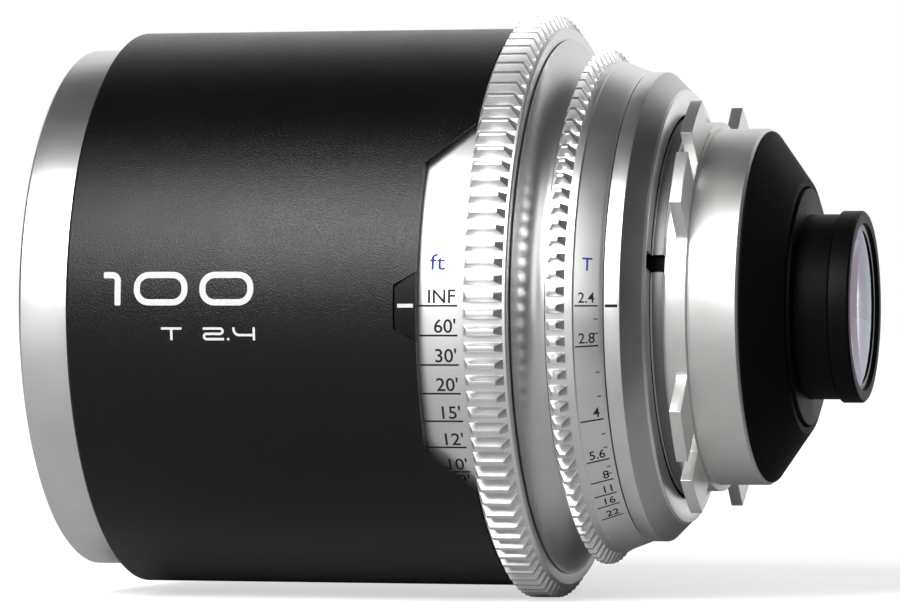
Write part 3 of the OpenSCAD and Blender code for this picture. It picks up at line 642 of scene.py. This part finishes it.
class LENS_OT_index_plate(bpy.types.Operator):
    """Small plate with the focus index line, let into the barrel"""

    bl_idname = "lens.index_plate"
    bl_label = "Index plate"

    def execute(self, context):
        plate = trapezoid("index_plate_curved", 0, BARREL_R - PLATE_LOW, 0.68)
        leave(plate, 30)
        keep(plate, "housing", "baffle_black", "plate_black", "index_plate")
        return {"FINISHED"}


class LENS_OT_focus_ring(bpy.types.Operator):
    """Focus ring: turned body and its bevelled teeth"""

    bl_idname = "lens.focus_ring"
    bl_label = "Focus ring"

    def execute(self, context):
        face = BAND_REAR - 0.02
        bore, relief_r, sleeve_r = 38.32, 38.62, 39.7
        points = [(FOCUS_REAR, bore), (FOCUS_REAR, FOCUS_ROOT_R - 0.2), (FOCUS_REAR + 0.2, FOCUS_ROOT_R),
                  (face, FOCUS_ROOT_R), (face, sleeve_r), (FOCUS_END, sleeve_r), (FOCUS_END, relief_r),
                  (face + 1, relief_r), (face + 1, bore)]
        body = turned("focus_ring_body", points, 0.06)
        teeth = toothed("focus_teeth", looks().focus_teeth, FOCUS_ROOT_R, FOCUS_TIP_R, FOCUS_REAR + 0.45,
                        face - 0.02, -1.34)
        keep(join(body, teeth), "focus", "silver_anodised", "silver_cut", "focus_gear_ring")
        return {"FINISHED"}


class LENS_OT_scale_band(bpy.types.Operator):
    """Bright band that carries the distance scale"""

    bl_idname = "lens.scale_band"
    bl_label = "Scale band"

    def execute(self, context):
        inside = BAND_R - 1.28
        points = [(BAND_REAR, inside), (BAND_REAR, BAND_R), (BAND_FRONT, BAND_R), (BAND_FRONT, inside)]
        band = turned("scale_band_turned", points, 0.08)
        keep(band, "focus", "silver_anodised", "silver_blasted", "focus_scale_band")
        return {"FINISHED"}


class LENS_OT_cove_ring(bpy.types.Operator):
    """Hollowed cover ring between the geared rings"""

    bl_idname = "lens.cove_ring"
    bl_label = "Cove ring"

    def execute(self, context):
        hollow = COVE_FRONT - COVE_REAR
        foot = COVE_R - hollow - 0.7
        points = [(COVE_REAR, foot)]
        points += [(z, r) for r, z in bend(COVE_R, COVE_REAR, hollow, 180, 90, 24)]
        points += [(COVE_FRONT, foot)]
        ring = turned("cove_ring_turned", points, 0.05)
        cut(ring, *[spoke(36.4, 42, angle, (COVE_REAR + COVE_FRONT) / 2) for angle in FAR_SCREWS])
        # The cove is dressed in a darker silver: painted shade in its hollow
        keep(ring, "housing", "silver_anodised", "silver_cove", "cove_ring")
        return {"FINISHED"}


class LENS_OT_iris_ring(bpy.types.Operator):
    """Iris ring: sloping stop scale, plain band and bevelled teeth"""

    bl_idname = "lens.iris_ring"
    bl_label = "Iris ring"

    def execute(self, context):
        bore = 33.05
        points = [(IRIS_REAR, bore), (IRIS_REAR, INDEX_R - 0.2), (CONE_REAR, CONE_REAR_R),
                  (CONE_FRONT, CONE_FRONT_R), (CONE_FRONT + 0.2, IRIS_ROOT_R), (IRIS_FRONT, IRIS_ROOT_R),
                  (IRIS_FRONT, bore)]
        body = turned("iris_ring_body", points, 0.06)
        teeth = toothed("iris_teeth", looks().iris_teeth, IRIS_ROOT_R, IRIS_TIP_R, IRIS_FRONT - 3.02,
                        IRIS_FRONT - 0.02, -0.25)
        keep(join(body, teeth), "iris", "silver_anodised", "silver_anodised", "iris_ring")
        return {"FINISHED"}


def key_cutter():
    """A cutter for the key notch beside the mount."""
    obj = box("key", (3.3, 4.0, NOTCH_WIDE), (-4.85, -29.98, 0))
    bpy.ops.transform.rotate(value=math.radians(NOTCH_UP), orient_axis="X", center_override=(0, 0, 0))
    to_object()
    return obj


def in_notch(point):
    """Whether a point lies within the notch's width."""
    up = math.atan2(point.z, -point.y) - math.radians(NOTCH_UP)
    across = math.hypot(point.y, point.z) / MM * math.sin(up)
    return point.y < 0 and abs(across) < NOTCH_WIDE / 2 + 0.05


class LENS_OT_index_ring(bpy.types.Operator):
    """Fixed index ring with its sloping rear side, screw holes and key notch"""

    bl_idname = "lens.index_ring"
    bl_label = "Index ring"

    def execute(self, context):
        z = INDEX_REAR
        web = z + 0.68
        hole, slope_r, bore = 29.3, 33.0, 33.02
        points = [(z, hole), (z, slope_r - 0.2), (z + 0.4, slope_r), (z + 3.1, INDEX_R),
                  (INDEX_FRONT, INDEX_R), (INDEX_FRONT, bore), (web, bore), (web, hole)]
        ring = turned("index_ring_turned", points, 0.07)
        cut(ring, key_cutter(), *[spoke(33.5, 37, angle, INDEX_FRONT - 1.15) for angle in FAR_SCREWS])
        keep(ring, "housing", "silver_anodised", "silver_anodised", "index_ring")
        # The sloping rear side gets a darker silver: painted shade
        refinish(ring, "silver_slope", lambda face, r: slope_r < r < INDEX_R and 0.4 < face.normal.x < 0.9)
        return {"FINISHED"}


def polar(radius, angle):
    """A point of an outline seen along the axis, in millimetres."""
    a = math.radians(angle)
    return -radius * math.cos(a), radius * math.sin(a)


def slab(name, outline, z0, z1):
    """A flat plate across the axis: its outline extruded point by point, filled and thickened."""
    obj = trace(name, [(-z0, y, z) for y, z in outline])
    select_all()
    bpy.ops.mesh.edge_face_add()
    extrude(z0 - z1, 0, 0)
    clean()
    to_object()
    return obj


class LENS_OT_mount(bpy.types.Operator):
    """Four-ear bayonet mount, with its throat, neck, collar and slotted ears, and its shim"""

    bl_idname = "lens.mount"
    bl_label = "Mount"

    THROAT = 27.0
    THROAT_IN = 25.0
    NECK = 28.0
    COLLAR = 29.0
    EAR_R = 34.4
    EAR_THICK = 1.8
    SPAN = 37.0
    RAMP = 4.9
    SLOT = 4.0
    TOE = 1.62

    def toe(self, middle, side):
        """The round where a ramp leaves the neck, from the neck up, on one side of an ear."""
        tip = middle + side * self.SPAN / 2
        foot = tip + side * self.RAMP
        start = Vector(polar(self.NECK, foot + side * self.TOE))
        corner = Vector(polar(self.NECK, foot))
        end = corner.lerp(Vector(polar(self.EAR_R, tip)), 0.115)
        return [tuple(start.lerp(corner, s).lerp(corner.lerp(end, s), s)) for s in (0, 0.25, 0.5, 0.75, 1)]

    def ear(self, middle):
        """One ear's outline: a slotted sector with ramped ends."""
        tip = self.SPAN / 2
        foot = tip + self.RAMP + self.TOE
        low = self.NECK - 0.35
        side = math.degrees(math.asin(self.SLOT / 2 / self.EAR_R))
        floor = math.degrees(math.asin(self.SLOT / 2 / (self.NECK + 0.3)))
        points = [polar(low, middle - foot)] + self.toe(middle, -1)
        points += [polar(self.EAR_R, middle - tip + (tip - side) * i / 10) for i in range(11)]
        points += [polar(self.NECK + 0.3, middle - floor), polar(self.NECK + 0.3, middle + floor)]
        points += [polar(self.EAR_R, middle + side + (tip - side) * i / 10) for i in range(11)]
        points += self.toe(middle, 1)[::-1] + [polar(low, middle + foot)]
        points += [polar(low, middle + foot - 2 * foot * i / 14) for i in range(1, 14)]
        return points

    def execute(self, context):
        web = COLLAR_FRONT - 3.3
        neck_end = self.EAR_THICK + 1.4
        points = [(web, WEB_IN_R), (web, self.THROAT_IN), (THROAT_REAR, self.THROAT_IN),
                  (THROAT_REAR, self.THROAT - 0.4), (THROAT_REAR + 0.4, self.THROAT), (0, self.THROAT),
                  (0, self.NECK), (neck_end, self.NECK), (neck_end, self.COLLAR),
                  (COLLAR_FRONT, self.COLLAR), (COLLAR_FRONT, WEB_IN_R)]
        mount = turned("mount_flange_turned", points, 0.07)
        self.pierce(mount, web, COLLAR_FRONT)
        dress(mount, "mount_steel")
        floor, top = self.NECK - 0.1, self.COLLAR - 0.1

        def ahead(face):
            return face.center.x <= -neck_end * MM

        # The notch's floor and walls are made black: painted shade in the notch
        refinish(mount, "baffle_black",
                 lambda face, r: ahead(face) and floor <= r <= top and in_notch(face.center))
        # The collar ahead of the neck is dressed dark grey: painted shade
        refinish(mount, "collar_painted_shade", lambda face, r: ahead(face) and r > top)
        join(mount, *[self.soft_ear(middle) for middle in QUARTERS])
        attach(mount, "housing")
        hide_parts("mount_flange")
        self.shim()
        return {"FINISHED"}

    def soft_ear(self, middle):
        """One ear with its edges softened."""
        ear = slab("ear", self.ear(middle), 0, self.EAR_THICK)
        only(ear)
        soft = ear.modifiers.new("soft edges", "BEVEL")
        soft.width = 0.1 * MM
        soft.segments = 2
        soft.limit_method = "ANGLE"
        soft.angle_limit = math.radians(40)
        bpy.ops.object.modifier_apply(modifier=soft.name)
        leave(ear, 20)
        dress(ear, "mount_steel")
        return ear

    def pierce(self, obj, z0, z1):
        """Cuts the key notch and the six screw holes."""
        holes = [peg(SCREW_HOLE_R, MOUNT_SCREWS_R, 90 + 60 * i, z0 - 1, z1 + 1) for i in range(6)]
        cut(obj, key_cutter(), *holes)

    def shim(self):
        """The back focus shim ahead of the collar, black in the notch as painted shade."""
        low, high, outer = reach("mount_shim")
        inner = WEB_IN_R + 0.2
        shim = turned("mount_shim_turned", [(low, inner), (low, outer), (high, outer), (high, inner)], 0.03)
        self.pierce(shim, low, high)
        keep(shim, "housing", "mount_steel", "mount_steel", "mount_shim")
        # The shim's faces in the notch are made black: painted shade
        refinish(shim, "baffle_black", lambda face, r: 27.5 < r < outer - 0.05 and abs(face.normal.x) < 0.5
                 and in_notch(face.center))


class LENS_OT_rear_baffle(bpy.types.Operator):
    """Sloping black baffle that closes the throat"""

    bl_idname = "lens.rear_baffle"
    bl_label = "Rear baffle"

    def execute(self, context):
        step = THROAT_REAR - 0.02
        rim = step - 0.25
        inside, skirt_r = 23.98, 24.98
        hole, end_r = 18.2, 19.3
        points = [(BAFFLE_FRONT, inside), (BAFFLE_FRONT, skirt_r), (step, skirt_r), (step, BAFFLE_R),
                  (rim, BAFFLE_R), (BAFFLE_REAR, end_r), (BAFFLE_REAR, hole), (BAFFLE_REAR + 1.5, hole),
                  (rim + 0.3, inside)]
        cone = turned("rear_baffle_turned", points, 0.07)
        keep(cone, "housing", "baffle_black", "baffle_black", "rear_baffle")
        return {"FINISHED"}


class LENS_OT_rear_cell(bpy.types.Operator):
    """Rear cell's shoulder and tube, and the bezel around the rear glass"""

    bl_idname = "lens.rear_cell"
    bl_label = "Rear cell and bezel"

    def execute(self, context):
        shoulder = BAFFLE_REAR - 0.5
        tube = BEZEL_FRONT + 0.02
        end = BEZEL_REAR + 0.67
        stop, wall, front = -16.81, -8, 10.5
        bore, flange_r, shoulder_r = 16.6, 20.6, 17.9
        tube_r, thread_r, seat_r, stop_r = 14.0, 13.6, 12.95, 11.5
        points = [(wall, bore), (front, bore), (front, flange_r), (0, flange_r), (0, shoulder_r),
                  (shoulder, shoulder_r), (shoulder, tube_r), (tube, tube_r), (tube, thread_r),
                  (end, thread_r), (end, seat_r), (stop, seat_r), (stop, stop_r), (wall, stop_r)]
        cell = turned("rear_cell_turned", points, 0.08)
        keep(cell, "housing", "baffle_black", "cell_black", "rear_cell")
        z0, z1 = BEZEL_REAR, BEZEL_FRONT
        lip = z0 + 0.65
        lip_r, inside = 12.65, 13.62
        points = [(z0, lip_r), (z0, BEZEL_R - 0.3), (z0 + 0.3, BEZEL_R), (z1 - 0.28, BEZEL_R),
                  (z1, BEZEL_R - 0.3), (z1, inside), (lip, inside), (lip, lip_r)]
        bezel = turned("rear_bezel_turned", points, 0.06)
        keep(bezel, "housing", "baffle_black", "cell_black", "rear_bezel")
        return {"FINISHED"}


def sag(curve, r):
    """How far a curved face falls back at a radius."""
    return 0.0 if curve == 0 else math.copysign(abs(curve) - math.sqrt(curve * curve - r * r), curve)


class LENS_OT_glasses(bpy.types.Operator):
    """Polished elements with true curves and blackened edges"""

    bl_idname = "lens.glasses"
    bl_label = "Glasses"

    # Node, body, edge radius, rear curve, front curve and finish; a hollow curve is negative
    FORMS = (
        ("front_glass", "focus_group", 32.5, 0, 70, "coated_glass"),
        ("second_glass", "focus_group", 29.5, -120, 55, "coated_glass"),
        ("third_glass", "focus_group", 22.5, -60, -150, "coated_glass"),
        ("rear_glass_inner", "housing", 16.5, 0, -45, "coated_glass"),
        ("rear_glass_middle", "housing", 16.5, 40, 40, "coated_glass"),
        ("rear_glass_outer", "housing", 12.9, 140, 45, "rear_glass"),
    )

    def execute(self, context):
        rings = 22
        for node, body, edge, back, front, finish in self.FORMS:
            low, high, _ = reach(node)
            z0 = low if back >= 0 else low - sag(back, edge)
            z1 = high if front >= 0 else high + sag(front, edge)
            radii = [edge * i / rings for i in range(rings + 1)]
            points = [(z0 + sag(back, r), r) for r in radii]
            points += [(z1 - sag(front, r), r) for r in reversed(radii)]
            lens = turned(node + "_polished", points, 0.0, 160, False)
            keep(lens, body, "coated_glass", finish, node)
            lens.visible_shadow = False
            refinish(lens, "baffle_black", lambda face, r: r > edge - 0.01 and abs(face.normal.x) < 0.05)
            if node == "rear_glass_outer":
                refinish(lens, "ground_edge", lambda face, r: r > edge - 0.9 and face.normal.x > 0.5)
        return {"FINISHED"}


# Markings

# Share of a text's size that its capitals stand
CAPITAL = 0.68


def lay(obj, z_left, angle, radius_at, finish):
    """Lays a flat mark on a turned surface: x runs to the camera end and y runs up around the axis."""
    lift = looks().ink_mm * 0.4
    for v in obj.data.vertices:
        z = z_left - v.co.x / MM
        radius = radius_at(z)
        v.co = on_cylinder(z, radius + lift + v.co.z / MM, math.radians(angle) + v.co.y / MM / radius)
    edit(obj)
    clean()
    to_object()
    dress(obj, finish)
    return obj


def lettering(name, body, height, width_share, finish, z_right, angle, rise, radius_at):
    """A word or number: its text made a mesh, squeezed to its height and laid on its surface."""
    deselect()
    bpy.ops.object.text_add()
    letters = bpy.context.object.data
    letters.body = body
    letters.size = 1.0
    letters.resolution_u = 4
    letters.extrude = 0.5
    letters.offset = 0.007
    bpy.ops.object.convert(target="MESH")
    obj = bpy.context.object
    obj.name = name
    xs = [v.co.x for v in obj.data.vertices]
    start = min(xs)
    tall = height / CAPITAL * MM
    wide = tall * width_share
    z_left = z_right + (max(xs) - start) * wide / MM
    for v in obj.data.vertices:
        v.co = ((v.co.x - start) * wide, v.co.y * tall + rise * MM, v.co.z * looks().ink_mm * MM)
    return lay(obj, z_left, angle, radius_at, finish)


def stroke(name, z0, z1, angle, width, finish, radius_at):
    """A straight mark along the axis: a thin slab laid on its surface."""
    obj = box(name, (z1 - z0, width, looks().ink_mm), ((z1 - z0) / 2, 0, 0))
    to_object()
    return lay(obj, z1, angle, radius_at, finish)


def gather(name, pieces, body):
    obj = join(*pieces)
    obj.name = name
    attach(obj, body)


class LENS_OT_distance_scale(bpy.types.Operator):
    """Distance scale on the bright band, in feet"""

    bl_idname = "lens.distance_scale"
    bl_label = "Distance scale"

    # Degrees of turn times feet, the same for every mark
    SPACING = 366
    FEET = ((0, "INF"), (60, "60'"), (30, "30'"), (20, "20'"), (15, "15'"), (12, "12'"), (10, "10'"),
            (9, "9'"), (8, "8'"), (7, "7'"), (6, "6'"), (5, "5'"), (4.5, "4'6"), (4, "4'"), (3.5, "3'6"),
            (3, "3'"), (2.75, "2'9"), (2.5, "2'6"), (2.25, "2'3"), (2.04, "2'"))

    def execute(self, context):
        def flat(z):
            return BAND_R

        rear, front, line_wide = 31.2, 37.0, 0.27
        tall, share, gap = 1.93, 1.03, 0.42
        marks = []
        for feet, word in self.FEET:
            angle = LINE_UP - (self.SPACING / feet if feet else 0)
            marks.append(stroke("line", rear, front, angle, line_wide, "ink_black", flat))
            marks.append(lettering("number", word, tall, share, "ink_black", rear + 0.3, angle, gap, flat))
        unit = lettering("unit", "ft", 2.3, 1.2, "ink_blue", 33.1, 7.6, 0, flat)
        gather("distance_scale_numbers", marks, "focus")
        gather("distance_scale_unit", [unit], "focus")
        return {"FINISHED"}


class LENS_OT_stop_scale(bpy.types.Operator):
    """Stop scale on the iris ring's slope"""

    bl_idname = "lens.stop_scale"
    bl_label = "Stop scale"

    STOPS = ((0, "2.4"), (-9.3, "2.8"), (-27.4, "4"), (-38.7, "5.6"), (-45.2, "8"), (-50, "11"),
             (-54.2, "16"), (-59.2, "22"))
    TICKS = (-3.05, -6.4, -15.6, -21.5, -31.4, -35.2, -41.0, -43.2)

    def execute(self, context):
        slope = (CONE_FRONT_R - CONE_REAR_R) / (CONE_FRONT - CONE_REAR)

        def cone(z):
            return CONE_REAR_R + (z - CONE_REAR) * slope

        rear = CONE_REAR + 0.05
        line_end, tick_end = rear + 3.2, rear + 0.55
        line_wide, tick_wide = 0.23, 0.16
        tall, share, gap = 1.48, 0.88, 0.46
        marks = []
        for angle, word in self.STOPS:
            angle += LINE_UP
            marks.append(stroke("line", rear, line_end, angle, line_wide, "ink_black", cone))
            marks.append(lettering("number", word, tall, share, "ink_black", rear + 0.45, angle, gap, cone))
        for angle in self.TICKS:
            marks.append(stroke("tick", rear, tick_end, angle + LINE_UP, tick_wide, "ink_black", cone))
        unit = lettering("unit", "T", 1.9, 0.85, "ink_blue", rear + 0.85, 8.3, 0, cone)
        gather("stop_scale_numbers", marks, "iris")
        gather("stop_scale_unit", [unit], "iris")
        return {"FINISHED"}


def ribbon(path, width):
    """The outline of a line of even width along a path."""
    left = []
    right = []
    for i, here in enumerate(path):
        before = path[max(i - 1, 0)]
        after = path[min(i + 1, len(path) - 1)]
        along = (Vector(after) - Vector(before)).normalized()
        side = Vector((-along.y, along.x)) * width / 2
        left.append(tuple(Vector(here) + side))
        right.append(tuple(Vector(here) - side))
    return left + right[::-1]


def figure(name, outline, z_left, corner):
    """A filled figure on the barrel, from its outline in millimetres, with softened corners."""
    obj = trace(name, [(x, y, 0) for x, y in outline])
    select_all()
    bpy.ops.mesh.edge_face_add()
    round_corners(obj, sharp_corners(outline, True), corner)
    return lay_figure(obj, z_left)


def round_zero(name, z_left, width, low, high, bar):
    """A wide zero: a rounded rectangle with an open middle."""
    tall = high - low
    obj = begin(bpy.ops.mesh.primitive_plane_add, name, size=1)
    bpy.ops.transform.resize(value=(width * MM, tall * MM, 1))
    bpy.ops.transform.translate(value=(width / 2 * MM, (low + high) / 2 * MM, 0))
    bpy.ops.mesh.bevel(offset=0.46 * tall * MM, segments=10, affect="VERTICES")
    bpy.ops.mesh.select_mode(type="FACE")
    select_all()
    bpy.ops.mesh.inset(thickness=bar * MM)
    bpy.ops.mesh.delete(type="FACE")
    return lay_figure(obj, z_left)


def lay_figure(obj, z_left):
    """Gives a flat figure enough rows to bend, its thickness and its place on the barrel."""
    thick = looks().ink_mm
    heights = [v.co.y for v in bmesh.from_edit_mesh(obj.data).verts]
    low = min(heights)
    high = max(heights)
    rows = max(2, round((high - low) / (0.45 * MM)))
    for i in range(1, rows):
        select_all()
        bpy.ops.mesh.bisect(plane_co=(0, low + (high - low) * i / rows, 0), plane_no=(0, 1, 0))
    select_all()
    bpy.ops.mesh.normals_make_consistent(inside=False)
    extrude(0, 0, thick)
    select_all()
    bpy.ops.transform.translate(value=(0, 0, -thick / 2 * MM))
    to_object()
    return lay(obj, z_left, 0, lambda z: BARREL_R, "ink_white")


class LENS_OT_barrel_marks(bpy.types.Operator):
    """Focal length, widest stop and index lines"""

    bl_idname = "lens.barrel_marks"
    bl_label = "Barrel marks"

    def execute(self, context):
        one = [(0, 4.7), (1.25, 4.7)] + bend(1.35, 3.85, 0.85, 90, 0) + [(2.2, 0.2)]
        low, high, bar = 0.2, 5.18, 0.93
        zero_wide = 8.28
        figures = [figure("one", ribbon(one, bar), 84.9, 0.22)]
        for name, z_left in (("zero_a", 80.18), ("zero_b", 70.05)):
            figures.append(round_zero(name, z_left, zero_wide, low, high, bar))
        low, high, bar = -4.95, -3.02, 0.36
        top = high - bar / 2
        foot = low + bar / 2
        middle = (low + high) / 2
        turn = (top - middle) / 2
        cap = [(0, high), (3.2, high), (3.2, high - bar), (1.6 + bar / 2, high - bar), (1.6 + bar / 2, low),
               (1.6 - bar / 2, low), (1.6 - bar / 2, high - bar), (0, high - bar)]
        two = [(0.1, top), (2.7, top)] + bend(2.75, top - turn, turn, 90, -90) + [(0.7, middle)]
        two += bend(0.65, middle - turn, turn, 90, 270) + [(0.7, foot), (3.35, foot)]
        four = [(0.1, high), (0.12, top)] + bend(1.0, middle + 0.68, 0.86, 185, 270)
        four += [(1.1, middle - 0.18), (3.2, middle - 0.18)]
        stem = [(3.05, high), (3.05 + bar, high), (3.05 + bar, low), (3.05, low)]
        dot = [(0, low + bar), (bar, low + bar), (bar, low), (0, low)]
        for name, outline, z_left in (
                ("widest_letter", cap, 76.02), ("widest_two", ribbon(two, bar), 69.65),
                ("widest_point", dot, 65.85), ("widest_four", ribbon(four, bar), 64.95),
                ("widest_four_stem", stem, 64.95)):
            figures.append(figure(name, outline, z_left, 0.1))
        gather("focal_length_figures", figures, "housing")
        line = stroke("focus_index_line", 37.47, 39.85, LINE_UP, 0.55, "ink_white",
                      lambda z: BARREL_R - PLATE_LOW)
        gather("focus_index_line", [line], "housing")
        line = stroke("stop_index_line", 8.45, 10.3, LINE_UP, 0.43, "ink_black", lambda z: INDEX_R)
        gather("stop_index_line", [line], "housing")
        return {"FINISHED"}


# Stage

# How far a direction turns to the wall behind, where the room grows from dark to light
BEHIND = (0.45, 0.85)
ROOM_DARK = 0.05


def mirror_rays(tree, path):
    """Whether a ray comes from a reflection or through glass."""
    return sums(tree, "MAXIMUM", path["Is Glossy Ray"], path["Is Transmission Ray"])


def white(tree, strength):
    return add_node(tree, "ShaderNodeBackground", {"Color": (1, 1, 1, 1), "Strength": strength})[0]


def blend(tree, factor, first, second):
    return add_node(tree, "ShaderNodeMixShader", {"Fac": factor, 1: first, 2: second})[0]


def studio_world(scene):
    """White to the camera; a plain pale room to everything else."""
    world = bpy.data.worlds.new("studio")
    scene.world = world
    world.use_nodes = True
    tree = world.node_tree
    tree.nodes.clear()
    path = add_node(tree, "ShaderNodeLightPath")
    aim = axes(tree, place(tree, "Generated"))
    behind = eased(tree, aim["Y"], *BEHIND)
    height = eased(tree, aim["Z"], 0.62, 0.92, 1.0, 0.0)
    room = ranged(tree, sums(tree, "MULTIPLY", behind, height), 0.0, 1.0, ROOM_DARK, 1.0)
    light = blend(tree, mirror_rays(tree, path), white(tree, 0.25), white(tree, room))
    seen = blend(tree, path["Is Camera Ray"], light, white(tree, 1.0))
    add_node(tree, "ShaderNodeOutputWorld", {"Surface": seen})


def floor_material():
    """Pale matt floor that keeps the shadow near the lens and reads white to the camera further off; to
    reflections its colour is painted darker, darkest towards the lens's rear end.
    """
    material, tree, sockets = new_material("pale floor")
    put(tree, sockets["Roughness"], 0.9)
    put(tree, sockets["Specular IOR Level"], 0.0)
    put(tree, sockets["Emission Color"], (1, 1, 1, 1))
    path = add_node(tree, "ShaderNodeLightPath")
    spot = place(tree)
    parts = axes(tree, spot)
    # Painted reflection: to glossy rays the floor is darker than it is, and darkest to the right of the
    # lens and close beside its axis
    right = sums(tree, "MULTIPLY_ADD", sums(tree, "ABSOLUTE", parts["Y"]), -0.3, parts["X"])
    side = eased(tree, right, -0.01, 0.07, 0.46, 0.07)
    tones = {"Factor": path["Is Glossy Ray"], "A": 0.8, "B": side}
    put(tree, sockets["Base Color"], add_node(tree, "ShaderNodeMix", tones, data_type="FLOAT")["Result"])
    away = add_node(tree, "ShaderNodeVectorMath", {0: spot}, operation="LENGTH")["Value"]
    aim = add_node(tree, "ShaderNodeVectorMath", {0: spot}, operation="NORMALIZE")["Vector"]
    lift = sums(tree, "MULTIPLY", path["Is Camera Ray"], eased(tree, away, 0.1, 0.7, 0.6, 1.0))
    behind = eased(tree, axes(tree, aim)["Y"], *BEHIND, ROOM_DARK, 1.0)
    room = sums(tree, "MULTIPLY", behind, eased(tree, away, 0.08, 0.4))
    put(tree, sockets["Emission Strength"], sums(tree, "MULTIPLY_ADD", room, mirror_rays(tree, path), lift))
    return material


def softbox(name, size, watts, azimuth, elevation, distance):
    """A soft light aimed at the lens; azimuth runs from the operator's side to the camera end."""
    a = math.radians(azimuth)
    e = math.radians(elevation)
    target = Vector((-0.04, 0, 0))
    away = Vector((math.sin(a) * math.cos(e), -math.cos(a) * math.cos(e), math.sin(e)))
    data = bpy.data.lights.new(name, "AREA")
    data.shape = "RECTANGLE"
    data.size, data.size_y = size
    data.energy = watts
    lamp = bpy.data.objects.new(name, data)
    lamp.location = target + away * distance
    lamp.rotation_euler = (-away).to_track_quat("-Z", "Y").to_euler()
    lamp.visible_transmission = False
    bpy.context.scene.collection.objects.link(lamp)


class LENS_OT_stage(bpy.types.Operator):
    """Pale floor, soft light and the camera at the photograph's angle"""

    bl_idname = "lens.stage"
    bl_label = "Stage"

    def execute(self, context):
        scene = context.scene
        scene.view_settings.view_transform = "Standard"
        deselect()
        bpy.ops.mesh.primitive_circle_add(vertices=96, radius=6, fill_type="NGON",
                                          location=(0, 0, -FOCUS_TIP_R * MM - 0.00005))
        floor = context.object
        floor.name = "floor"
        floor.data.materials.append(floor_material())
        studio_world(scene)
        softbox("key", (0.44, 0.62), watts=10.8, azimuth=-17, elevation=31, distance=1.0)
        softbox("fill", (0.36, 1.5), watts=3.2, azimuth=30, elevation=20, distance=1.2)
        data = bpy.data.cameras.new("photo camera")
        data.lens = 216
        data.sensor_width = 36
        data.clip_start = 0.05
        data.clip_end = 50
        camera = bpy.data.objects.new("photo camera", data)
        camera.rotation_euler = (math.radians(90), 0, math.radians(14.4))
        camera.location = (0.1638, -0.8047, -0.0001)
        scene.collection.objects.link(camera)
        scene.camera = camera
        return {"FINISHED"}


STEPS = (LENS_OT_finishes, LENS_OT_front_ring, LENS_OT_front_baffle, LENS_OT_outer_barrel,
         LENS_OT_index_plate, LENS_OT_focus_ring, LENS_OT_scale_band, LENS_OT_cove_ring, LENS_OT_iris_ring,
         LENS_OT_index_ring, LENS_OT_mount, LENS_OT_rear_baffle, LENS_OT_rear_cell, LENS_OT_glasses,
         LENS_OT_distance_scale, LENS_OT_stop_scale, LENS_OT_barrel_marks, LENS_OT_stage)


class LENS_PT_panel(bpy.types.Panel):
    """Lists the pieces and the sizes that can be changed"""

    bl_idname = "LENS_PT_panel"
    bl_label = "Cinema prime lens"
    bl_space_type = "VIEW_3D"
    bl_region_type = "UI"
    bl_category = "Lens"

    def draw(self, context):
        for name in LensLooks.__annotations__:
            self.layout.prop(looks(), name)
        for step in STEPS:
            self.layout.operator(step.bl_idname)


CLASSES = (LensLooks, *STEPS, LENS_PT_panel)


def register():
    for cls in CLASSES:
        bpy.utils.register_class(cls)
    bpy.types.Scene.lens_looks = bpy.props.PointerProperty(type=LensLooks)


def unregister():
    del bpy.types.Scene.lens_looks
    for cls in reversed(CLASSES):
        bpy.utils.unregister_class(cls)


def main():
    register()
    for step in STEPS:
        group, name = step.bl_idname.split(".")
        getattr(getattr(bpy.ops, group), name)()
    deselect()


if __name__ == "__main__":
    main()
